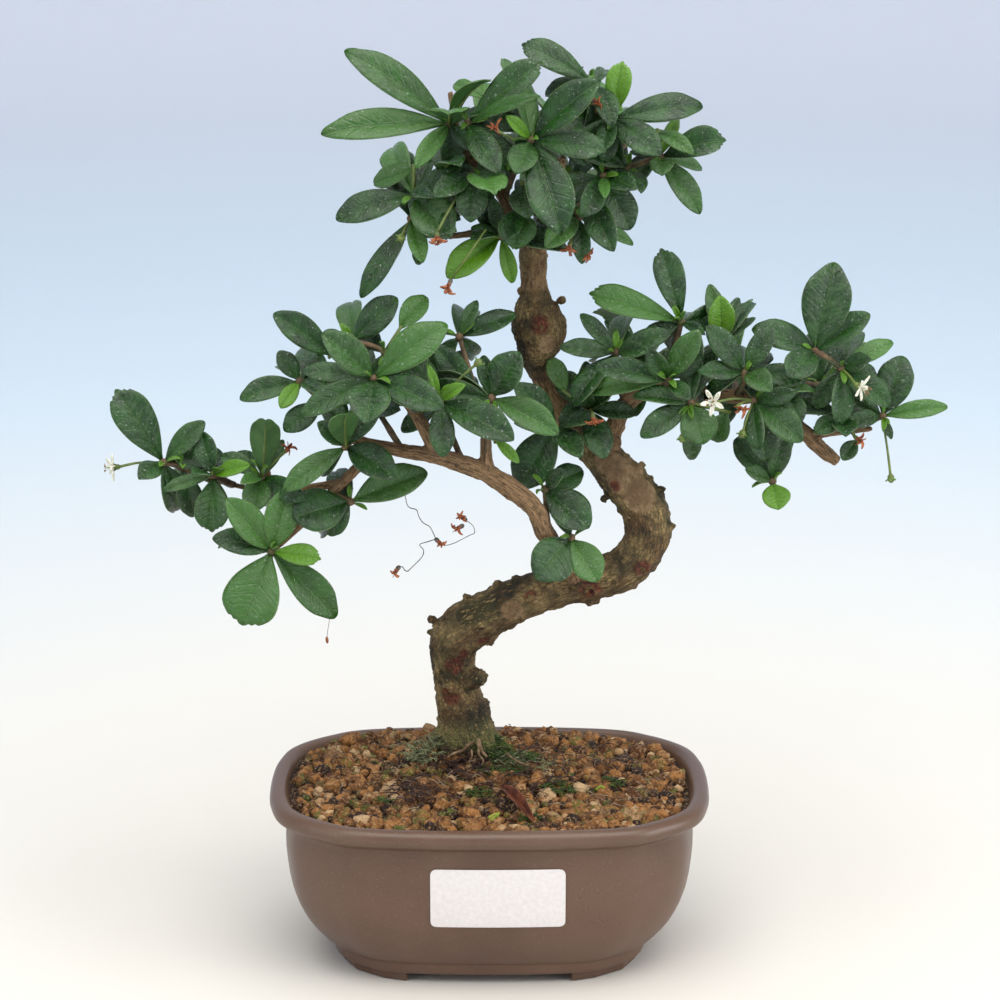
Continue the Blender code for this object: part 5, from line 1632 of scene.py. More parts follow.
# %% Relief of the bark
# Old scars that the front shows: place, radius and how high their rim stands
SCARS = (
    (-2.9, -0.5, 117.3, 1.7, 0.8),
    (-8.8, 2.5, 121.8, 2.1, 0.7),
    (14.1, -2.0, 129.8, 1.4, 0.6),
    (-9.6, 6.0, 98.1, 2.1, 0.7),
    (-12.7, 1.2, 112.7, 1.7, 0.4),
    (35.1, -3.2, 131.7, 1.7, 0.8),
    (42.3, -4.2, 135.3, 1.7, 0.7),
    (52.6, -4.5, 140.1, 2.4, 0.9),
    (55.5, -6.0, 150.3, 1.4, 0.5),
    (43.1, -3.2, 169.8, 1.7, 0.5),
    (47.6, -3.5, 157.8, 1.7, 0.5),
    (12.9, 6.0, 234.3, 1.4, 0.6),
    (19.0, 2.8, 227.4, 1.7, 0.5),
    (14.9, 2.0, 219.9, 1.7, 0.4),
    (27.9, -3.2, 132.4, 1.7, 0.6),
    (5.8, -1.5, 125.3, 1.7, 0.5),
    (-15.7, 8.5, 91.6, 1.8, 0.5),
)
# Where the bark lies smooth, where it is wounded red and where shade under the foliage and forks is painted
# dark on it: place and reach
SMOOTH_BARK = (
    (46.5, -3.0, 173.3, 8.9),
    (51.6, -5.0, 167.1, 7.5),
    (41.4, -1.0, 177.7, 6.2),
    (20.0, 2.5, 218.1, 4.1),
    (7.9, -1.8, 123.9, 4.9),
)
RED_WOUNDS = (
    (-12.4, 4.2, 101.7, 4.2),
    (-13.9, 8.2, 89.1, 4.6),
    (43.1, -3.2, 169.8, 2.4),
    (52.6, -4.8, 140.9, 3.8),
    (35.1, -3.5, 132.5, 4.8),
    (14.4, -2.0, 129.8, 2.8),
    (-9.6, 2.8, 106.6, 3.5),
    (-1.9, 2.0, 111.7, 2.8),
    (17.3, 1.8, 225.2, 4.1),
)
PAINTED_SHADE_SPOTS = (
    (11.8, 3.5, 225.8, 4.1),
    (12.5, 5.0, 233.1, 2.7),
    (17.4, 5.8, 208.5, 7.5),
    (45.7, -4.2, 143.6, 7.6),
    (38.0, 2.2, 184.6, 6.2),
    (-6.9, 9.2, 91.3, 3.5),
)


def nearness(place, spots):
    """1 in the middle of the nearest of these spots, 0 beyond its reach."""
    best = 0.0
    for x, y, z, reach in spots:
        gap = (place - Vector((x, y, z))).length / reach
        best = max(best, 1.0 - gap)
    return max(0.0, best)


def scar_relief(place):
    """A raised rim round a shallow dip at each scar."""
    rise = 0.0
    for x, y, z, radius, height in SCARS:
        gap = (place - Vector((x, y, z))).length / radius
        if gap < 2.2:
            rise += height * (math.exp(-((gap - 0.9) / 0.35) ** 2) - 0.5 * math.exp(-((gap / 0.5) ** 2)))
    return rise


def bark_relief(place, spot, radius, smooth):
    """How far the bark stands out here, in millimetres."""
    stout = min(1.0, radius / 6.5)
    lumps = 0.75 * noise.noise(place * 0.13) + 0.35 * noise.noise(place * 0.31)
    gaps, _ = noise.voronoi(Vector((spot.x * 0.62, spot.y * 0.62, spot.z * 0.42)))
    scale = min(1.0, (gaps[1] - gaps[0]) / 0.35) - 0.55
    fine = noise.noise(Vector((spot.x * 1.5, spot.y * 1.5, spot.z * 0.8)))
    wart = max(0.0, noise.noise(place * 0.30 + Vector((9.0, 4.0, 2.0))) - 0.25) * 1.8
    rough = 1.0 - 0.6 * smooth
    scaly = rough * (0.36 * scale + 0.26 * fine + wart)
    return stout * (0.9 * lumps + scar_relief(place) + scaly) - 0.25 * stout


# %% Bark on the skin
# Up to where the foot is mossy, and below which radius a limb has the thin bark of a branch
MOSS_LEVEL, MOSS_RISE = 66.0, 17.0
THIN_RADIUS, THIN_FADE = 5.2, 1.2


def cover_with_bark(shape):
    """Moves every corner by its relief, and writes what the finish has to know."""
    spot_layer = shape.verts.layers.float_vector.new("bark_spot")
    look_layer = shape.verts.layers.float_vector.new("bark_look")
    height_layer = shape.verts.layers.float.new("bark_height")
    painted_shade_layer = shape.verts.layers.float.new("bark_painted_shade")
    thin_layer = shape.verts.layers.float.new("bark_thin")
    shape.normal_update()
    for vertex in shape.verts:
        spot, radius = on_limb(vertex.co)
        smooth = min(1.0, 2.2 * nearness(vertex.co, SMOOTH_BARK))
        rise = bark_relief(vertex.co, spot, radius, smooth)
        moss = max(0.0, 1.0 - max(0.0, vertex.co.z - MOSS_LEVEL) / MOSS_RISE)
        vertex[spot_layer] = spot
        vertex[look_layer] = (smooth, min(1.0, 2.8 * nearness(vertex.co, RED_WOUNDS)), moss)
        vertex[height_layer] = rise
        vertex[thin_layer] = min(1.0, max(0.0, (THIN_RADIUS - radius) / THIN_FADE))
        vertex[painted_shade_layer] = min(1.0, 2.0 * nearness(vertex.co, PAINTED_SHADE_SPOTS))
        vertex.co += vertex.normal * rise
    for face in shape.faces:
        face.smooth = True


# %% [markdown]
# The finish repeats the same scales in colour: tan plates on olive-brown gaps. Where the wood was long
# in the shade the gaps are wide and nearly black, where it was rubbed it is smooth and only pricked.
# Thin branches have a pinkish bark with fine fibres along them, wounds are dark red and the foot is green.
# Where the relief lies low the bark is painted darker, as shade, and near black patches of painted shade
# lie where the foliage and the forks overhang it.

# %% Bark finish
def bark_scales(tree, spot):
    """How far a place is from the nearest gap between two scales, 0 in the gap."""
    squashed = add_node(tree, "Mapping", {"Vector": spot, "Scale": (1.0, 1.0, 0.85)}).outputs[0]
    bend = add_node(tree, "TexNoise", {"Vector": squashed, "Scale": 0.8, "Detail": 4.0}).outputs["Color"]
    bent = {0: bend, 1: (1.2, 1.2, 1.2), 2: squashed}
    place = add_node(tree, "VectorMath", bent, operation="MULTIPLY_ADD").outputs[0]
    cells = add_node(tree, "TexVoronoi", {"Vector": place, "Scale": 0.75}, feature="DISTANCE_TO_EDGE")
    return cells.outputs["Distance"]


BARK, tree, shader = new_finish("bark", 0.8)
place = add_node(tree, "TexCoord").outputs["Object"]
spot = add_node(tree, "Attribute", attribute_name="bark_spot").outputs["Vector"]
look = kept_numbers(tree, "bark_look")
height = add_node(tree, "Attribute", attribute_name="bark_height").outputs["Fac"]
thin = add_node(tree, "Attribute", attribute_name="bark_thin").outputs["Fac"]
red, moss = look.outputs["Y"], look.outputs["Z"]
scales = bark_scales(tree, spot)
patches = grain(tree, place, 95.0, 5.0, 0.6)
speckle = grain(tree, place, 900.0, 5.0, 0.7)
worn = math_node(tree, "ADD", look.outputs["X"], math_node(tree, "SUBTRACT", patches, 0.5))
smooth = between(tree, math_node(tree, "ADD", worn, math_node(tree, "MULTIPLY", speckle, 0.3)), 0.42, 0.80)
tan = blend(tree, between(tree, patches, 0.38, 0.62), (0.160, 0.092, 0.032), (0.380, 0.262, 0.108))
tan = blend(tree, between(tree, speckle, 0.48, 0.66, 0.0, 0.55), tan, (0.100, 0.054, 0.018))
dark = blend(tree, between(tree, patches, 0.4, 0.6), (0.012, 0.009, 0.003), (0.045, 0.038, 0.010))
shade = between(tree, grain(tree, place, 62.0, 3.0), 0.44, 0.60)
narrow = between(tree, scales, 0.02, 0.13, 0.75, 0.0)
wide = math_node(tree, "MULTIPLY", between(tree, scales, 0.12, 0.42, 1.0, 0.0), shade)
# Painted shade: the bark is darker where its relief lies low, in the hollows between the lumps
low = between(tree, height, -0.70, -0.10, 0.7, 0.0)
gaps = math_node(tree, "MAXIMUM", math_node(tree, "MAXIMUM", narrow, wide), low)
rough = math_node(tree, "SUBTRACT", 1.0, math_node(tree, "MAXIMUM", smooth, thin))
gaps = math_node(tree, "MULTIPLY", gaps, rough)
colour = blend(tree, gaps, tan, dark)
rubbed = blend(tree, between(tree, patches, 0.4, 0.6), (0.150, 0.088, 0.042), (0.330, 0.215, 0.115))
mottle = between(tree, grain(tree, place, 420.0, 4.0, 0.7), 0.46, 0.60, 0.0, 0.6)
rubbed = blend(tree, mottle, rubbed, (0.090, 0.050, 0.022))
rubbed = blend(tree, between(tree, speckle, 0.30, 0.44, 0.5, 0.0), rubbed, (0.440, 0.300, 0.165))
colour = blend(tree, math_node(tree, "MULTIPLY", smooth, 0.8), colour, rubbed)
along = add_node(tree, "Mapping", {"Vector": spot, "Scale": (2.0, 2.0, 0.28)}).outputs[0]
fibre = grain(tree, along, 0.9, 5.0, 0.7)
branch = blend(tree, between(tree, fibre, 0.36, 0.60), (0.060, 0.030, 0.011), (0.340, 0.205, 0.098))
colour = blend(tree, math_node(tree, "MULTIPLY", thin, 0.95), colour, branch)
pricks = math_node(tree, "MULTIPLY", between(tree, grain(tree, place, 1000.0, 2.0), 0.63, 0.69), 0.85)
colour = blend(tree, pricks, colour, (0.030, 0.018, 0.009))
rust = math_node(tree, "MULTIPLY", red, between(tree, grain(tree, place, 330.0), 0.36, 0.50))
wound = blend(tree, between(tree, speckle, 0.45, 0.60), (0.060, 0.009, 0.004), (0.200, 0.048, 0.016))
colour = blend(tree, math_node(tree, "MULTIPLY", rust, 0.92), colour, wound)
green = math_node(tree, "MULTIPLY", between(tree, moss, 0.0, 0.8), between(tree, speckle, 0.32, 0.60))
colour = blend(tree, math_node(tree, "MULTIPLY", green, 0.75), colour, (0.190, 0.195, 0.055))
# Painted shade: nearly black patches where the bark lies under the foliage and forks, broken up by noise
painted_shade = add_node(tree, "Attribute", attribute_name="bark_painted_shade").outputs["Fac"]
painted_shade = math_node(tree, "MULTIPLY", painted_shade, between(tree, grain(tree, place, 260.0), 0.35, 0.60))
colour = blend(tree, math_node(tree, "MULTIPLY", painted_shade, 0.8), colour, (0.022, 0.016, 0.008))
tree.links.new(colour, shader.inputs["Base Color"])
ridges = math_node(tree, "MULTIPLY", between(tree, scales, 0.0, 0.35), rough)
fibres = math_node(tree, "MULTIPLY", fibre, math_node(tree, "MULTIPLY", thin, 1.5))
ridges = math_node(tree, "ADD", ridges, fibres)
raise_surface(tree, shader, math_node(tree, "ADD", ridges, grain(tree, place, 2000.0, 4.0)), 0.9, 0.0007)

cover_with_bark(wood_shape)
trunk = finish_piece("trunk_with_bark", wood_shape, (BARK,), ("trunk",))
print("faces of the trunk:", len(trunk.data.polygons))

# %% [markdown]
# ## The pot
# The pot is pressed and fired stoneware: an oblong drawn towards an oval, all of its edges soft from
# the glaze. A grid is rolled up twice, like a ring: once round the pot, and once from the inside floor
# over the lip and down the outside to the underside, where both ends meet at the drain hole. So the
# whole body is one closed skin, and one smooth curve gives each of its levels.

# %% Plan and profile
POT_QUARTER = ((0.0, 1.0), (0.56, 0.955), (0.78, 0.82), (0.93, 0.61), (0.985, 0.36), (1.0, 0.12))
# Half width, half depth and height of each level, and how round it is: out from the drain hole over
# the floor, up the inside, round the lip, down the outside and back under
POT_LOOP = (
    (5.0, 5.0, 11.6, 1.0), (6.0, 6.0, 12.0, 1.0), (30.0, 22.0, 12.0, 0.3), (50.0, 33.5, 12.2, 0.0),
    (55.0, 37.5, 14.0, 0.0), (59.5, 41.0, 18.5, 0.0), (64.5, 44.5, 28.0, 0.0), (66.5, 45.5, 42.0, 0.0),
    (68.4, 46.4, 52.0, 0.0), (70.2, 47.6, 58.5, 0.0), (71.4, 48.6, 61.0, 0.0), (72.7, 49.9, 61.9, 0.0),
    (74.6, 51.7, 61.9, 0.0), (76.1, 53.2, 61.1, 0.0), (76.9, 53.9, 59.5, 0.0), (76.8, 53.8, 57.6, 0.0),
    (75.6, 52.8, 56.1, 0.0), (73.4, 51.4, 55.2, 0.0), (71.6, 50.4, 53.8, 0.0), (71.2, 50.1, 51.0, 0.0),
    (71.5, 50.5, 42.0, 0.0), (69.6, 49.5, 28.0, 0.0), (65.2, 46.5, 18.0, 0.0), (59.2, 42.0, 10.6, 0.0),
    (57.0, 40.6, 8.8, 0.0), (56.0, 39.9, 8.0, 0.0), (55.8, 39.7, 6.6, 0.0), (55.3, 39.3, 4.6, 0.0),
    (53.9, 38.2, 3.7, 0.0), (51.5, 36.4, 4.2, 0.0), (49.0, 34.6, 5.8, 0.0), (30.0, 22.0, 6.0, 0.3),
    (6.0, 6.0, 6.0, 1.0), (5.0, 5.0, 6.4, 1.0),
)
POT_COLUMNS = 192
LEVEL_STEPS = 3


def closed_curve(points, steps):
    """A smooth path through a loop of points, without its end repeated."""
    around = [points[-1], *points, points[0], points[1]]
    return curved_path(around, steps)[steps:-steps - 1]


def quarter_curve():
    """A smooth quarter of the plan, as shares of the half width and half depth."""
    corners = [(x, y, 0.0, 0.0) for x, y in POT_QUARTER]
    mirrored = [(-POT_QUARTER[1][0], POT_QUARTER[1][1], 0.0, 0.0)] + corners
    mirrored.append((POT_QUARTER[-1][0], -POT_QUARTER[-1][1], 0.0, 0.0))
    return [(x, y) for x, y, _, _ in curved_path(mirrored, 12)[12:-6]]


QUARTER = quarter_curve()


def plan_shares(turn):
    """Where the plan's edge is at a turn from 0 to 4 quarters, from the front's middle to the right."""
    quarter, within = int(turn) % 4, turn - int(turn)
    along = within if quarter % 2 == 0 else 1.0 - within
    spot = along * (len(QUARTER) - 1)
    k = min(int(spot), len(QUARTER) - 2)
    share = spot - k
    x = QUARTER[k][0] + (QUARTER[k + 1][0] - QUARTER[k][0]) * share
    y = QUARTER[k][1] + (QUARTER[k + 1][1] - QUARTER[k][1]) * share
    return (x if quarter < 2 else -x), (y if quarter in (1, 2) else -y)


# %% Body of the pot
def pot_point(turn, level):
    """A place on the pot's skin."""
    half_width, half_depth, height, roundness = level
    x, y = plan_shares(turn)
    angle = math.radians(90.0 * (turn - 1.0))
    plan = Vector((x * half_width, y * half_depth, height))
    circle = Vector((half_width * math.cos(angle), half_width * math.sin(angle), height))
    return plan.lerp(circle, roundness)


POT_LEVELS = closed_curve(POT_LOOP, LEVEL_STEPS)


def add_body(shape):
    """The pot's skin: a grid rolled up both ways and welded at its two seams."""
    rows = len(POT_LEVELS)
    rolled = bmesh.ops.create_grid(shape, x_segments=POT_COLUMNS, y_segments=rows, size=1.0)["verts"]
    for vertex in rolled:
        column = round((vertex.co.x + 1.0) / 2 * POT_COLUMNS) % POT_COLUMNS
        row = round((vertex.co.y + 1.0) / 2 * rows) % rows
        vertex.co = pot_point(4.0 * column / POT_COLUMNS, POT_LEVELS[row])
    bmesh.ops.remove_doubles(shape, verts=rolled, dist=0.0001)


FOOT_PLAN = (
    (29.0, -37.2), (38.0, -34.2), (48.0, -27.2), (53.0, -17.5), (54.0, -10.0), (46.0, -10.0), (44.0, -16.5),
    (37.0, -23.5), (29.0, -28.0),
)
FOOT_TOP, FOOT_TAPER, FOOT_ROUNDING = 7.5, 0.97, 1.2


def add_foot(shape, side_x, side_y):
    """One corner foot: its plan raised into a block, with soft edges."""
    narrow_x, narrow_y = side_x * FOOT_TAPER, side_y * FOOT_TAPER
    corners = [shape.verts.new((x * narrow_x, y * narrow_y, 0.0)) for x, y in FOOT_PLAN]
    sole = shape.faces.new(corners)
    raised = bmesh.ops.extrude_face_region(shape, geom=[sole])["geom"]
    top = [item for item in raised if isinstance(item, bmesh.types.BMVert)]
    for vertex in top:
        vertex.co = (vertex.co.x / FOOT_TAPER, vertex.co.y / FOOT_TAPER, FOOT_TOP)
    foot_verts = corners + top
    edges = {edge for vertex in foot_verts for edge in vertex.link_edges}
    bmesh.ops.bevel(shape, geom=list(edges), offset=FOOT_ROUNDING, offset_type="OFFSET", segments=3,
                    profile=0.5, affect="EDGES", material=-1)


pot_shape = bmesh.new()
add_body(pot_shape)
for side_x, side_y in product((-1, 1), (-1, 1)):
    add_foot(pot_shape, side_x, side_y)
bmesh.ops.recalc_face_normals(pot_shape, faces=pot_shape.faces)
for face in pot_shape.faces:
    face.smooth = True

# %% [markdown]
# The glaze is a satin brown. It pools darker and greyer in places, turns a warmer, lighter brown over the
# lip, from 54 mm up, and is sprinkled with very fine light and dark grains.

# %% Glaze
GLAZE, tree, shader = new_finish("satin_brown_glaze", 0.42)
place = add_node(tree, "TexCoord").outputs["Object"]
height = add_node(tree, "SeparateXYZ", {0: place}).outputs["Z"]
cloud = grain(tree, place, 22.0, 4.0)
colour = blend(tree, between(tree, cloud, 0.35, 0.65), (0.092, 0.045, 0.027), (0.122, 0.065, 0.040))
# Lighter and warmer from 54 mm up, over the lip
colour = blend(tree, between(tree, height, 0.0540, 0.0605, 0.0, 0.35), colour, (0.135, 0.085, 0.055))
fleck = grain(tree, place, 1700.0, 2.0)
colour = blend(tree, between(tree, fleck, 0.64, 0.72, 0.0, 0.5), colour, (0.22, 0.165, 0.125))
colour = blend(tree, between(tree, fleck, 0.28, 0.36, 0.55, 0.0), colour, (0.035, 0.024, 0.020))
tree.links.new(colour, shader.inputs["Base Color"])
tree.links.new(between(tree, cloud, 0.3, 0.7, 0.32, 0.44), shader.inputs["Roughness"])
raise_surface(tree, shader, grain(tree, place, 1100.0, 3.0), 0.25, 0.0003)
pot = finish_piece("glazed_pot", pot_shape, (GLAZE,), ("pot",))
print("faces of the pot:", len(pot.data.polygons))

# %% [markdown]
# ## The label
# A thin card with round corners is stuck to the front wall. It carries nothing here. A grid is laid on
# the wall point by point, its corners are drawn in to quarter circles, and it is thickened once.

# %% Label
LABEL_LEFT, LABEL_RIGHT = -20.0, 26.0
LABEL_LOW, LABEL_HIGH = 26.5, 48.0
LABEL_CORNER = 2.0
LABEL_STANDS_OFF, LABEL_THICKNESS = 0.55, 0.3
TOP_LEVEL = max(range(len(POT_LEVELS)), key=lambda k: POT_LEVELS[k][2])
OUTSIDE = POT_LEVELS[TOP_LEVEL:]


def wall_at(x, height):
    """How far forward the outside of the front wall is at a place."""
    k = next(k for k, level in enumerate(OUTSIDE) if level[2] < height)
    over, under = Vector(OUTSIDE[k - 1]), Vector(OUTSIDE[k])
    half_width, half_depth, _, _ = over.lerp(under, (over.z - height) / (over.z - under.z))
    spot = abs(x) / half_width
    stretches = zip(QUARTER, QUARTER[1:])
    (x0, y0), (x1, y1) = next((start, end) for start, end in stretches if start[0] <= spot <= end[0])
    return -half_depth * (y0 + (y1 - y0) * (spot - x0) / (x1 - x0))


def round_corner(across, up):
    """Draws a place in the corner square of the label in to a quarter circle."""
    longest, shortest = max(across, up), math.hypot(across, up)
    return (across * longest / shortest, up * longest / shortest) if shortest else (0.0, 0.0)


def make_label():
    shape = bmesh.new()
    bmesh.ops.create_grid(shape, x_segments=46, y_segments=22, size=1.0)
    middle_x, half_width = (LABEL_LEFT + LABEL_RIGHT) / 2, (LABEL_RIGHT - LABEL_LEFT) / 2
    middle_z, half_height = (LABEL_LOW + LABEL_HIGH) / 2, (LABEL_HIGH - LABEL_LOW) / 2
    for vertex in shape.verts:
        x, z = vertex.co.x * half_width, vertex.co.y * half_height
        over_x, over_z = abs(x) - (half_width - LABEL_CORNER), abs(z) - (half_height - LABEL_CORNER)
        if over_x > 0.0 and over_z > 0.0:
            over_x, over_z = round_corner(over_x, over_z)
            x = math.copysign(half_width - LABEL_CORNER + over_x, x)
            z = math.copysign(half_height - LABEL_CORNER + over_z, z)
        x, z = x + middle_x, z + middle_z
        vertex.co = (x, wall_at(x, z) - LABEL_STANDS_OFF, z)
    bmesh.ops.recalc_face_normals(shape, faces=shape.faces)
    bmesh.ops.solidify(shape, geom=shape.faces[:], thickness=LABEL_THICKNESS)
    bmesh.ops.recalc_face_normals(shape, faces=shape.faces)
    return shape


PAPER, tree, shader = new_finish("label_card", 0.38)
place = add_node(tree, "TexCoord").outputs["Object"]
fibre = grain(tree, place, 700.0, 4.0)
colour = blend(tree, between(tree, fibre, 0.3, 0.7), (0.69, 0.65, 0.64), (0.75, 0.715, 0.70))
tree.links.new(colour, shader.inputs["Base Color"])
raise_surface(tree, shader, fibre, 0.15, 0.0001)
label = finish_piece("bare_label", make_label(), (PAPER,), ("label",))
print("faces of the label:", len(label.data.polygons))

# %% [markdown]
# ## The soil
# The pot is filled with fired clay grains, three to six millimetres across, tan to dark brown, each a rough
# lump. A bed painted nearly black lies under them, painted shade, so every gap between them reads as shade
# and none shows a void. Each grain is a cube cut once, drawn out to a ball and dented by noise. The grains
# stand on a shaken grid, denser than it looks, so that every place has one.

# %% Bed of the soil
MOUND_WIDTH, MOUND_DEPTH = 72.0, 52.0
SOIL_EDGE, SOIL_CROWN = 60.5, 67.0
SOIL_GRAIN, GRAINS_PER_MM = 2.4, 0.31
ROOM_WIDTH, ROOM_DEPTH = 70.6, 47.9
# Soil that watering washed up against the foot
COLLAR_REACH, COLLAR_WIDTH, COLLAR_RISE = 11.0, 6.5, 3.2
# The look that gives the bed the dark grains' colour: painted shade between the grains
BED_PAINTED_SHADE = (0.1, 0.9, 0.0)
BED_COLUMNS, BED_ROWS = 96, 14
# How far the bed lies under the mound, and where its skirt ends
BED_DROP, SKIRT_FOOT, SKIRT_SHARE = 2.4, 40.0, 0.93


def soil_height(x, y):
    """The mound under the trunk, with the solids' own roughness."""
    reach = math.hypot((x - FOOT_X) / MOUND_WIDTH, (y - FOOT_Y) / MOUND_DEPTH)
    mound = SOIL_EDGE + (SOIL_CROWN - SOIL_EDGE) * max(0.0, 1.0 - reach) ** 0.8
    from_rim = abs(math.hypot(x - FOOT_X, y - FOOT_Y) - COLLAR_REACH)
    mound += COLLAR_RISE * max(0.0, 1.0 - from_rim / COLLAR_WIDTH)
    return mound + 0.6 * SOIL_GRAIN * noise.noise(Vector((x, y, 10.0)) * GRAINS_PER_MM)


def add_bed(shape):
    """A disc rolled up from a grid in the pot's plan, with a skirt below its edge."""
    rows = BED_ROWS
    rolled = bmesh.ops.create_grid(shape, x_segments=BED_COLUMNS, y_segments=rows, size=1.0)["verts"]
    for vertex in rolled:
        turn = (vertex.co.x + 1.0) * 2.0
        row = round((vertex.co.y + 1.0) / 2 * rows)
        share = min(row, rows - 2) / (rows - 2) if row < rows else 0.0
        x, y = plan_shares(turn % 4.0)
        x, y = x * ROOM_WIDTH * share, y * ROOM_DEPTH * share
        height = soil_height(x, y) - BED_DROP if row < rows - 1 else SKIRT_FOOT
        narrow = SKIRT_SHARE if row == rows - 1 else 1.0
        vertex.co = (x * narrow, y * narrow, height)
        # The bed takes the dark grains' colour as painted shade
        vertex[shape.verts.layers.float_vector["grain_look"]] = BED_PAINTED_SHADE
    bmesh.ops.remove_doubles(shape, verts=rolled, dist=0.0001)


# %% Grains
# Spacing, least and greatest radius and depth of each strewing
STREWINGS = ((3.0, 1.2, 2.2, 0.9), (4.6, 1.5, 2.9, 0.4), (9.5, 2.5, 3.7, 0.1))
CLEAR_OF_TRUNK = 9.0


def room_share(x, y):
    """0 in the middle of the pot and 1 at its inner wall."""
    across, deep = abs(x) / ROOM_WIDTH, abs(y) / ROOM_DEPTH
    edge = min(QUARTER, key=lambda spot: abs(spot[0] * deep - spot[1] * across) / math.hypot(*spot))
    return math.hypot(across, deep) / math.hypot(*edge)


def grain_lump():
    """A cube whose faces are cut once, drawn most of the way out to a ball."""
    shape = bmesh.new()
    bmesh.ops.create_cube(shape, size=1.0)
    bmesh.ops.subdivide_edges(shape, edges=shape.edges[:], cuts=1, use_grid_fill=True)
    for vertex in shape.verts:
        vertex.co = vertex.co.normalized().lerp(vertex.co * 1.5, 0.2)
    for face in shape.faces:
        face.smooth = True
    mesh = bpy.data.meshes.new("grain_lump")
    shape.to_mesh(mesh)
    shape.free()
    return mesh


GRAIN_LUMP = grain_lump()


def add_grain(shape, place, radius, draw, tone_layer):
    """One lump of fired clay, turned, squashed and dented its own way."""
    first = len(shape.verts)
    shape.from_mesh(GRAIN_LUMP)
    turn = Matrix.Rotation(draw.uniform(0, math.pi), 3, Vector([draw.gauss(0, 1) for _ in range(3)]))
    squash = Vector((draw.uniform(0.8, 1.25), draw.uniform(0.8, 1.2), draw.uniform(0.7, 1.0)))
    shift = Vector([draw.uniform(-50, 50) for _ in range(3)])
    tone = (draw.random(), draw.random(), draw.random())
    for vertex in shape.verts[first:]:
        lump = 1.0 + 0.5 * noise.noise(vertex.co * 1.4 + shift)
        vertex.co = place + turn @ (vertex.co * squash * radius * lump)
        vertex[tone_layer] = tone


def scatter_grains(shape, step, sizes, sink, draw):
    """Grains on a shaken grid that fill the pot's room, clear of its wall and of the trunk."""
    tone_layer = shape.verts.layers.float_vector["grain_look"]
    rows = int(2 * ROOM_DEPTH / step)
    columns = int(2 * ROOM_WIDTH / step)
    for row, column in product(range(rows + 1), range(columns + 1)):
        x = -ROOM_WIDTH + step * (column + 0.5 * (row % 2)) + draw.uniform(-0.4, 0.4) * step
        y = -ROOM_DEPTH + step * row + draw.uniform(-0.4, 0.4) * step
        radius = draw.uniform(*sizes)
        if (1.0 - room_share(x, y)) * ROOM_DEPTH < radius * 0.95:
            continue
        if math.hypot(x - FOOT_X, y - FOOT_Y) < CLEAR_OF_TRUNK + radius:
            continue
        place = Vector((x, y, soil_height(x, y) - sink - radius * 0.4 + draw.uniform(-0.7, 0.7)))
        add_grain(shape, place, radius, draw, tone_layer)


soil_shape = bmesh.new()
soil_shape.verts.layers.float_vector.new("grain_look")
draw = random.Random(11)
for step, least, greatest, sink in STREWINGS:
    scatter_grains(soil_shape, step, (least, greatest), sink, draw)
add_bed(soil_shape)
print("corners of the soil:", len(soil_shape.verts))

# %% [markdown]
# Fired clay breaks with a dull, dusty face. Most grains are tan to orange-brown, one in four is
# dark and some carry a green film. Each grain has three numbers of its own, so the finish can give it
# a colour of its own without a material for each.

# %% Clay finish
CLAY, tree, shader = new_finish("fired_clay", 0.95)
place = add_node(tree, "TexCoord").outputs["Object"]
look = kept_numbers(tree, "grain_look")
dust = grain(tree, place, 900.0, 5.0, 0.65)
colour = blend(tree, look.outputs["X"], (0.085, 0.028, 0.006), (0.410, 0.180, 0.048))
# The dark grains' colour, which the bed under them shares as painted shade
colour = blend(tree, between(tree, look.outputs["Y"], 0.80, 0.88), colour, (0.018, 0.007, 0.004))
colour = blend(tree, between(tree, look.outputs["Y"], 0.02, 0.14, 1.0, 0.0), colour, (0.60, 0.40, 0.21))
pit = grain(tree, place, 420.0, 3.0)
colour = blend(tree, between(tree, pit, 0.36, 0.46, 0.65, 0.0), colour, (0.050, 0.018, 0.007))
film = between(tree, look.outputs["Z"], 0.72, 0.90)
green = math_node(tree, "MULTIPLY", film, between(tree, pit, 0.42, 0.56))
colour = blend(tree, math_node(tree, "MULTIPLY", green, 0.8), colour, (0.085, 0.115, 0.014))
colour = blend(tree, between(tree, dust, 0.50, 0.66, 0.0, 0.50), colour, (0.64, 0.40, 0.20))
colour = blend(tree, between(tree, dust, 0.28, 0.46, 0.7, 0.0), colour, (0.022, 0.009, 0.005))
tree.links.new(colour, shader.inputs["Base Color"])
raise_surface(tree, shader, math_node(tree, "ADD", dust, pit), 1.0, 0.0012)
soil = finish_piece("clay_grains", soil_shape, (CLAY,), ("soil",))
print("faces of the soil:", len(soil.data.polygons))

# %% [markdown]
# ## Flowers and dried calyces
# An open flower is under a centimetre across: five thin white lobes that bend back, a short tube in a
# green calyx, and five stamens with brown tips. When it has faded, the lobes curl up orange-brown
# and stay for weeks. Both use the leaf's slab with its edges drawn wide, so each lobe has a fold
# and a thickness.

# %% Finishes of the flowers
def petal_finish(name, light, deep, roughness):
    material, tree, shader = new_finish(name, roughness)
    place = add_node(tree, "TexCoord").outputs["Object"]
    spot = kept_numbers(tree, "leaf_spot")
    foot = between(tree, spot.outputs["Y"], 0.0, 0.5, 1.0, 0.0)
    mottle = between(tree, grain(tree, place, 900.0), 0.40, 0.65)
    share = math_node(tree, "MAXIMUM", math_node(tree, "MULTIPLY", foot, 0.6), mottle)
    tree.links.new(blend(tree, share, light, deep), shader.inputs["Base Color"])
    raise_surface(tree, shader, grain(tree, place, 1500.0), 0.4, 0.0003)
    return material


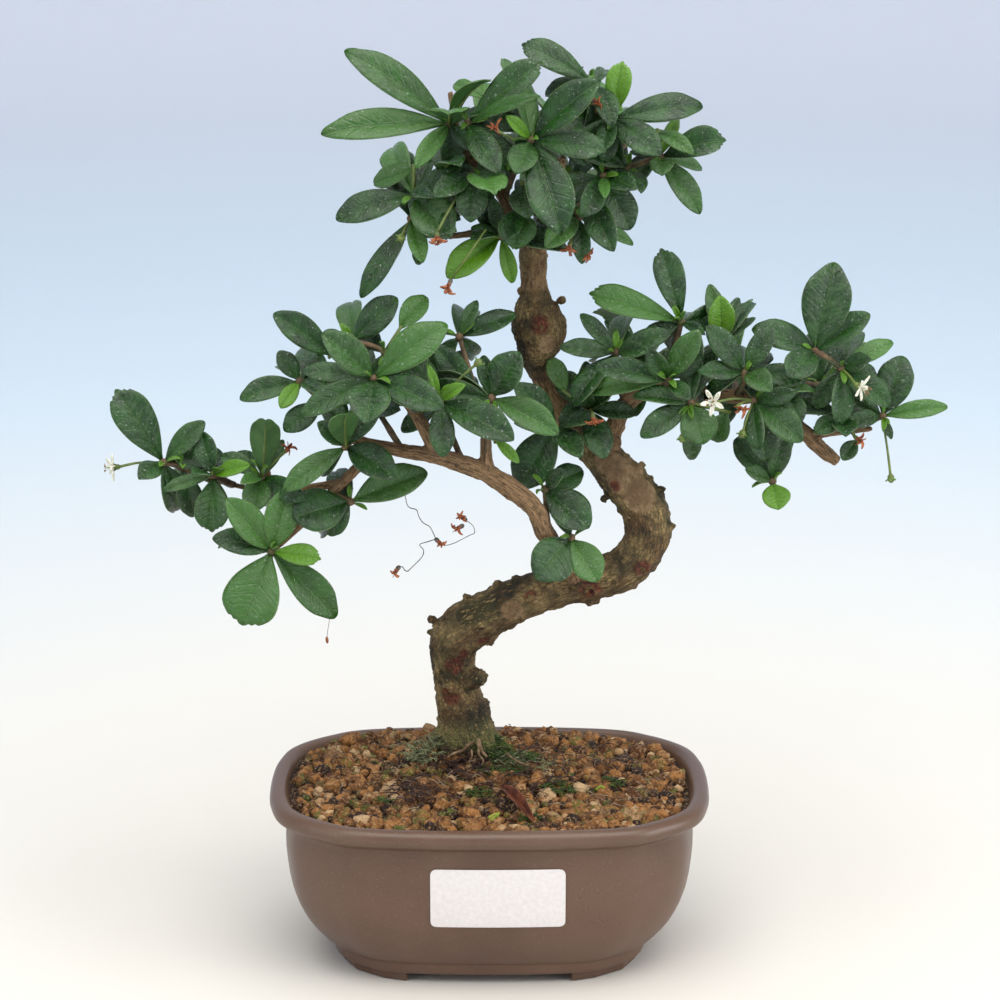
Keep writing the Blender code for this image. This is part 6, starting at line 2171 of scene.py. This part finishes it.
WHITE_PETAL = petal_finish("white_petal", (0.86, 0.84, 0.76), (0.66, 0.64, 0.46), 0.55)
DRIED_PETAL = petal_finish("dried_petal", (0.42, 0.13, 0.045), (0.17, 0.045, 0.020), 0.8)
ANTHER = petal_finish("anther", (0.30, 0.16, 0.06), (0.12, 0.055, 0.025), 0.7)

# %% Making flowers
WHITE_REACH, CALYX_REACH = 4.9, 3.9
CUP = 2.4


def add_lobe(shape, base, way, face, length, width, kind, material_index, draw, fold, arch):
    """One lobe of a flower: a small blade of its own colour."""
    known = set(shape.faces)
    tip, roll = base + way.normalized() * length, draw.uniform(-12, 12)
    leaf = new_leaf(base, tip, width, kind, face, roll, fold, arch)
    shape_leaf(shape, SMALL_SLAB, leaf, draw.random())
    for face in [face for face in shape.faces if face not in known]:
        face.material_index = material_index


def add_flower(shape, place, along, draw):
    """A white flower: green cup, tube, five bent-back lobes and five stamens."""
    across, up = frame_across(along)
    mouth = place + along * CUP
    add_knob(shape, place + along * 0.6, 1.0, 1.3, along, 1)
    for k in range(5):
        turn = 2 * math.pi * k / 5
        out = across * math.cos(turn) + up * math.sin(turn)
        lobe = out * 0.95 + along * draw.uniform(0.05, 0.4)
        inside = mouth - along * 0.3
        add_lobe(shape, inside, lobe, along, WHITE_REACH, 1.9, HIDDEN_KIND, 0, draw, 0.35, -0.06)
        add_lobe(shape, place + along * 0.2, out * 0.6 + along, out, 2.4, 0.9, 0, 1, draw, 0.3, 0.05)
    add_tube(shape, [(*(place + along * 0.4), 0.7), (*mouth, 0.95)], 10, 0)
    for k in range(5):
        turn = 2 * math.pi * (k + 0.5) / 5
        out = across * math.cos(turn) + up * math.sin(turn)
        tip = mouth + along * 2.6 + out * 1.3
        add_tube(shape, [(*mouth, 0.16), (*mouth.lerp(tip, 0.6), 0.12), (*tip, 0.12)], 5, 0)
        add_knob(shape, tip, 0.32, 1.8, out + along, 2)
    add_tube(shape, [(*mouth, 0.17), (*(mouth + along * 3.4), 0.12)], 5, 1)


def add_calyx(shape, place, along, draw, reach=CALYX_REACH):
    """A faded flower: lobes that curl every way round a green foot."""
    across, up = frame_across(along)
    mouth = place + along * CUP * 0.8
    add_knob(shape, place + along * 0.5, 0.85, 1.3, along, 1)
    for k in range(6):
        turn = 2 * math.pi * k / 6 + draw.uniform(-0.3, 0.3)
        out = across * math.cos(turn) + up * math.sin(turn)
        lobe = out * draw.uniform(0.4, 1.0) + along * draw.uniform(0.1, 0.9)
        length = reach * draw.uniform(0.65, 1.05)
        add_lobe(shape, mouth - along * 0.6, lobe, along, length, length * 0.42, 0, 0, draw,
                 draw.uniform(0.5, 1.0), draw.uniform(0.05, 0.30))
    add_tube(shape, [(*(place + along * 0.3), 0.6), (*mouth, 0.85)], 8, 0)
    add_tube(shape, [(*mouth, 0.18), (*(mouth + along * 2.2 + across * 0.8), 0.10)], 5, 0)


draw = random.Random(17)
for name, kind, _, place, way in FLOWERS:
    shape = new_spray_shape()
    along = Vector(way).normalized()
    if kind == "white":
        add_flower(shape, Vector(place), along, draw)
        finish_piece(name + "_open", shape, (WHITE_PETAL, GREEN_STALK, ANTHER), (name,))
    else:
        add_calyx(shape, Vector(place), along, draw)
        finish_piece(name + "_curled", shape, (DRIED_PETAL, GREEN_STALK), (name,))
print("flowers and calyces:", len(FLOWERS))

# %% [markdown]
# ## Threads with dried blooms
# A few faded blooms hang under the left branch on threads as fine as hair. Each thread is a thin tube
# through the points of its curve, and each bloom is a small calyx at its end.

# %% Threads
LONG_THREAD = (
    (-27.3, -19.5, 169.9), (-27.6, -19.5, 167.8), (-26.3, -19.5, 166.7), (-24.5, -19.5, 166.1),
    (-23.7, -19.5, 163.7), (-22.3, -19.5, 161.6), (-20.2, -19.5, 160.3), (-19.2, -19.5, 158.6),
    (-18.0, -19.5, 155.8),
)
SIDE_THREAD = (
    (-18.0, -19.5, 155.8), (-17.0, -19.5, 154.3), (-14.9, -19.5, 153.6), (-12.0, -19.5, 154.3),
    (-9.1, -19.5, 155.8), (-6.3, -19.5, 157.3), (-4.9, -19.5, 158.0), (-5.2, -19.5, 160.1),
    (-6.0, -19.5, 161.1), (-7.9, -19.5, 162.6),
)
LOW_THREAD = (
    (-18.0, -19.5, 155.8), (-20.7, -19.5, 154.9), (-23.5, -19.5, 153.9), (-22.5, -19.5, 152.4),
    (-22.2, -19.5, 151.1), (-22.9, -19.5, 149.3), (-24.8, -19.5, 147.2), (-26.5, -19.5, 145.5),
    (-27.7, -19.5, 144.4), (-28.7, -19.5, 144.8), (-29.4, -19.5, 145.9), (-30.6, -19.5, 145.9),
)
SEED_THREAD = (
    (-54.4, -20.0, 130.0), (-54.6, -20.0, 126.4), (-55.2, -20.0, 122.8), (-55.4, -20.0, 119.9),
)
THREAD_RADIUS = 0.16
# Faded blooms on the threads: place, way and reach
THREAD_BLOOMS = (
    (LONG_THREAD[-1], (0.6, -0.4, -0.5), 2.6),
    (SIDE_THREAD[-1], (-0.5, -0.5, 0.5), 3.0),
    ((-8.9, -19.5, 160.6), (-0.9, -0.4, -0.4), 3.4),
    (LOW_THREAD[-1], (-0.6, -0.4, -0.7), 3.2),
)
# Faded blooms on stalks of their own: place, way and the stalk's foot
STALKED_BLOOMS = (
    ((2.7, -22.0, 296.0), (-0.2, -0.8, 0.5), (8.0, -16.0, 292.0)),
    ((-12.6, -19.0, 245.4), (-0.4, -0.3, -0.9), (-1.0, -17.0, 262.0)),
    ((31.0, -12.0, 254.0), (0.7, -0.5, -0.5), (22.0, -12.0, 262.0)),
)


def add_thread(shape, points, radius):
    path = curved_path([(*point, radius) for point in points], 5)
    add_tube(shape, path, 6, 0)


THREAD, tree, shader = new_finish("dry_thread", 0.7)
place = add_node(tree, "TexCoord").outputs["Object"]
mottle = between(tree, grain(tree, place, 300.0), 0.4, 0.6)
colour = blend(tree, mottle, (0.035, 0.028, 0.022), (0.16, 0.14, 0.11))
tree.links.new(colour, shader.inputs["Base Color"])

shape = new_spray_shape()
draw = random.Random(3)
hang_leaf = LEAVES["left_low_big"][0]
on_edge = on_leaf(hang_leaf, 0.97, 0.70, -0.5)
add_thread(shape, (tuple(on_edge), *LONG_THREAD[1:]), THREAD_RADIUS)
add_thread(shape, SIDE_THREAD, THREAD_RADIUS * 0.8)
add_thread(shape, LOW_THREAD, THREAD_RADIUS)
seed_leaf = LEAVES["low_left"][4]
add_thread(shape, (tuple(on_leaf(seed_leaf, 0.0, 0.90, -0.5)), *SEED_THREAD[1:]), THREAD_RADIUS * 0.6)
finish_piece("hanging_threads", shape, (THREAD,))

shape = new_spray_shape()
for place, way, foot in STALKED_BLOOMS:
    add_tube(shape, curved_path([(*foot, 0.4), (*place, 0.42)], 2), 6, 2)
    add_calyx(shape, Vector(place), Vector(way).normalized(), draw, 4.0)
for place, way, reach in THREAD_BLOOMS:
    add_calyx(shape, Vector(place), Vector(way).normalized(), draw, reach)
add_knob(shape, Vector(SEED_THREAD[-1]), 0.55, 2.4, Vector((0.1, 0.0, -1.0)), 0)
finish_piece("hanging_blooms", shape, (DRIED_PETAL, THREAD, GREEN_STALK))
print("faded blooms that hang:", len(STALKED_BLOOMS) + len(THREAD_BLOOMS))

# %% [markdown]
# ## The fallen leaf
# A leaf that dropped long ago lies on the grains, rolled along its midrib and reddish brown. The solids
# raised it until it came clear of the grains, so its height is found by the same trial.

# %% Fallen leaf
FALLEN_BASE, FALLEN_TIP, FALLEN_WIDTH = Vector((3.7, -13.0, 63.0)), Vector((15.6, -41.0, 60.5)), 8.0
FALLEN_ROLL, FALLEN_FOLD, FALLEN_ARCH = 25.0, 0.75, 0.07
UPWARD = Vector((0.0, 0.0, 1.0))


def fallen_leaf():
    corners = solid_corners("fallen_leaf")
    for step in range(120):
        rise = Vector((0.0, 0.0, 0.1 * step))
        leaf = new_leaf(FALLEN_BASE + rise, FALLEN_TIP + rise, FALLEN_WIDTH, 0, UPWARD,
                        FALLEN_ROLL, FALLEN_FOLD, FALLEN_ARCH)
        if in_solid(leaf, corners):
            return leaf
    return leaf


DRY_LEAF, tree, shader = new_finish("dry_leaf", 0.5)
place = add_node(tree, "TexCoord").outputs["Object"]
on = leaf_patterns(tree)
colour = blend(tree, between(tree, on["blotches"], 0.38, 0.62), (0.085, 0.022, 0.012), (0.24, 0.070, 0.030))
colour = blend(tree, math_node(tree, "MULTIPLY", on["rib"], 0.5), colour, (0.30, 0.12, 0.06))
colour = blend(tree, math_node(tree, "MULTIPLY", on["edge"], 0.5), colour, (0.32, 0.12, 0.06))
tree.links.new(colour, shader.inputs["Base Color"])
raise_surface(tree, shader, math_node(tree, "ADD", on["wrinkles"], on["leather"]), 0.8, 0.0008)

shape = new_spray_shape()
leaf = fallen_leaf()
shape_leaf(shape, LEAF_SLAB, {**leaf, "width": FALLEN_WIDTH * 1.1}, 0.4)
finish_piece("dry_rolled_leaf", shape, (DRY_LEAF,), ("fallen_leaf",))
print("the fallen leaf lies at mm:", [round(value, 1) for value in leaf["base"]])

# %% [markdown]
# ## What grows and lies on the soil
# Between the grains lie dark bits of root and bark fibre that the watering washed up, a grey-green
# lichen of curled strands stands left of the trunk, and dark moss has settled at its right foot. All
# are thin tubes along a wandering path, so one helper walks a strand over the ground and a small table
# says for each kind where it grows, how many strands, how long, how thick and how upright.

# %% A strand on the ground
def on_ground(x, y):
    """A place just above the grains."""
    return Vector((x, y, soil_height(x, y) + 0.8))


def wandering(place, heading, draw, step, count, rise, turn):
    """The points of a strand that starts at a place and turns a little at each step."""
    points = [place]
    for k in range(count):
        heading += draw.uniform(-turn, turn)
        lift = rise * step * (1.0 - 1.6 * k / count) + draw.uniform(-0.3, 0.3) * step
        points.append(points[-1] + Vector((math.cos(heading) * step, math.sin(heading) * step, lift)))
        if points[-1].z < soil_height(points[-1].x, points[-1].y) + 0.3:
            points[-1].z = soil_height(points[-1].x, points[-1].y) + 0.3 + draw.uniform(0.0, 0.6)
    return points


def add_patch(whole, patch, draw, material_index):
    """Strands of one kind, strewn over an oval patch of the soil, then joined to the whole."""
    shape = bmesh.new()
    x, y, wide, deep, count, step, steps, radius, rise, turn = patch
    for _ in range(count):
        turn_to, reach = draw.uniform(0, 2 * math.pi), math.sqrt(draw.random())
        place = on_ground(x + wide * reach * math.cos(turn_to), y + deep * reach * math.sin(turn_to))
        if room_share(place.x, place.y) > 0.93:
            continue
        points = wandering(place, draw.uniform(0, 2 * math.pi), draw, step, steps, rise, turn)
        if all(room_share(point.x, point.y) < 0.95 for point in points):
            path = [(*point, radius * draw.uniform(0.7, 1.3) * (1.0 - 0.5 * k / steps))
                    for k, point in enumerate(points)]
            add_tube(shape, path, 5, material_index)
    mesh = bpy.data.meshes.new("patch")
    shape.to_mesh(mesh)
    shape.free()
    whole.from_mesh(mesh)
    bpy.data.meshes.remove(mesh)


def strand_finish(name, light, deep, roughness):
    material, tree, shader = new_finish(name, roughness)
    place = add_node(tree, "TexCoord").outputs["Object"]
    mottle = between(tree, grain(tree, place, 330.0), 0.38, 0.62)
    tree.links.new(blend(tree, mottle, light, deep), shader.inputs["Base Color"])
    raise_surface(tree, shader, grain(tree, place, 2500.0), 0.5, 0.0003)
    return material


# %% Fibres, lichen and moss
# Middle x, y, half width, half depth, count, step, steps, radius, rise, turn
FIBRE_PATCHES = (
    (0.0, 0.0, 68.0, 45.0, 110, 1.6, 4, 0.17, 0.5, 0.8),
    (-6.0, -6.0, 36.0, 20.0, 90, 1.6, 5, 0.22, 0.4, 0.8),
    (14.0, 2.0, 34.0, 18.0, 70, 1.8, 5, 0.19, 0.6, 0.7),
    (-26.0, -18.0, 10.0, 8.0, 40, 1.4, 4, 0.28, 0.3, 0.9),
    (-8.0, 5.0, 12.0, 5.0, 90, 1.2, 4, 0.22, 0.5, 1.0),
)
PALE_PATCHES = ((2.0, -4.0, 60.0, 34.0, 50, 2.0, 4, 0.15, 0.4, 0.6),)
LICHEN_PATCHES = (
    (-23.5, 8.0, 5.5, 7.0, 70, 1.0, 6, 0.19, 1.1, 1.0),
    (-19.5, 13.0, 3.0, 4.0, 26, 1.0, 6, 0.18, 1.4, 1.0),
    (7.0, 5.0, 6.0, 5.0, 34, 0.9, 5, 0.17, 0.9, 1.1),
    (18.0, 2.0, 9.0, 5.0, 40, 1.0, 5, 0.16, 0.8, 1.1),
)
MOSS_PATCHES = (
    (1.5, 9.5, 7.0, 5.5, 420, 0.65, 4, 0.30, 1.5, 0.9),
    (12.0, 8.0, 6.0, 5.0, 200, 0.6, 3, 0.28, 1.1, 0.9),
    (4.0, -2.0, 9.0, 5.0, 170, 0.55, 3, 0.26, 0.8, 0.9),
    (24.0, -14.0, 6.0, 4.0, 120, 0.5, 3, 0.26, 0.7, 0.9),
    (-4.0, -20.0, 5.0, 4.0, 80, 0.5, 3, 0.26, 0.7, 0.9),
    (-36.0, -24.0, 3.0, 2.0, 40, 0.5, 3, 0.26, 0.6, 0.9),
    (44.0, -6.0, 4.0, 3.0, 60, 0.5, 3, 0.26, 0.6, 0.9),
    (14.0, -36.0, 4.0, 2.5, 50, 0.5, 3, 0.26, 0.6, 0.9),
)
ROOT_TAN = strand_finish("washed_root", (0.26, 0.17, 0.09), (0.10, 0.055, 0.025), 0.8)
FIBRE = strand_finish("dark_fibre", (0.060, 0.026, 0.016), (0.022, 0.010, 0.008), 0.7)
PALE_FIBRE = strand_finish("pale_fibre", (0.32, 0.25, 0.17), (0.12, 0.08, 0.05), 0.7)
LICHEN = strand_finish("grey_lichen", (0.27, 0.29, 0.15), (0.085, 0.100, 0.045), 0.9)
MOSS = strand_finish("dark_moss", (0.018, 0.048, 0.006), (0.070, 0.105, 0.012), 0.8)
LIVING_BIT = strand_finish("living_bit", (0.30, 0.38, 0.02), (0.16, 0.24, 0.02), 0.6)
ROOTS = (
    ((-5.6, 6.4, 72.9, 0.50), (-8.0, 4.2, 72.2, 0.62), (-9.2, 3.6, 71.0, 0.45), (-12.6, 2.2, 70.2, 0.50),
     (-14.8, 1.4, 69.0, 0.3)),
    ((-4.0, 6.6, 73.6, 0.75), (-3.6, 4.0, 72.4, 0.85), (-2.4, 2.2, 70.6, 0.60), (-1.0, 0.6, 69.6, 0.45)),
    ((-3.6, 4.0, 72.0, 0.50), (-3.8, 1.4, 70.2, 0.45), (-2.2, -0.6, 68.6, 0.40), (-2.8, -2.4, 67.4, 0.3)),
    ((-6.4, 3.2, 71.0, 0.40), (-6.2, 1.0, 69.4, 0.40), (-7.4, -1.0, 68.2, 0.3)),
    ((6.0, 1.6, 70.4, 0.35), (9.0, -0.6, 68.8, 0.40), (12.4, -2.6, 67.8, 0.3)),
)
LIVING_BITS = (
    ((-0.4, -39.0, 62.0), (1.2, -38.4, 63.0), (3.6, -38.0, 63.6)),
    ((0.6, -40.0, 61.8), (2.0, -39.4, 62.8), (3.0, -39.6, 63.4)),
    ((37.0, -16.0, 63.5), (38.6, -15.4, 64.6), (40.0, -15.6, 64.0)),
)


def ground_cover():
    """All strands in one piece, which lies on the clay grains."""
    shape = bmesh.new()
    draw = random.Random(29)
    for root in ROOTS:
        add_tube(shape, curved_path(root, 4), 8, 4)
    for bit in LIVING_BITS:
        add_tube(shape, curved_path([(*point, 0.45) for point in bit], 3), 6, 5)
    kinds = (FIBRE_PATCHES, PALE_PATCHES, LICHEN_PATCHES, MOSS_PATCHES)
    for index, patches in enumerate(kinds):
        for patch in patches:
            add_patch(shape, patch, draw, index)
    finishes = (FIBRE, PALE_FIBRE, LICHEN, MOSS, ROOT_TAN, LIVING_BIT)
    return finish_piece("moss_and_fibres", shape, finishes)


cover = ground_cover()
print("faces of the moss and fibres:", len(cover.data.polygons))

# %% [markdown]
# ## Size
# Every piece stays inside the box of the solids that it stands for, because each of its corners is held
# inside that box. The box is printed here.

# %% Size
print("box of the solids, mm:", [[round(v / MM, 1) for v in corner] for corner in CAD_BOX])
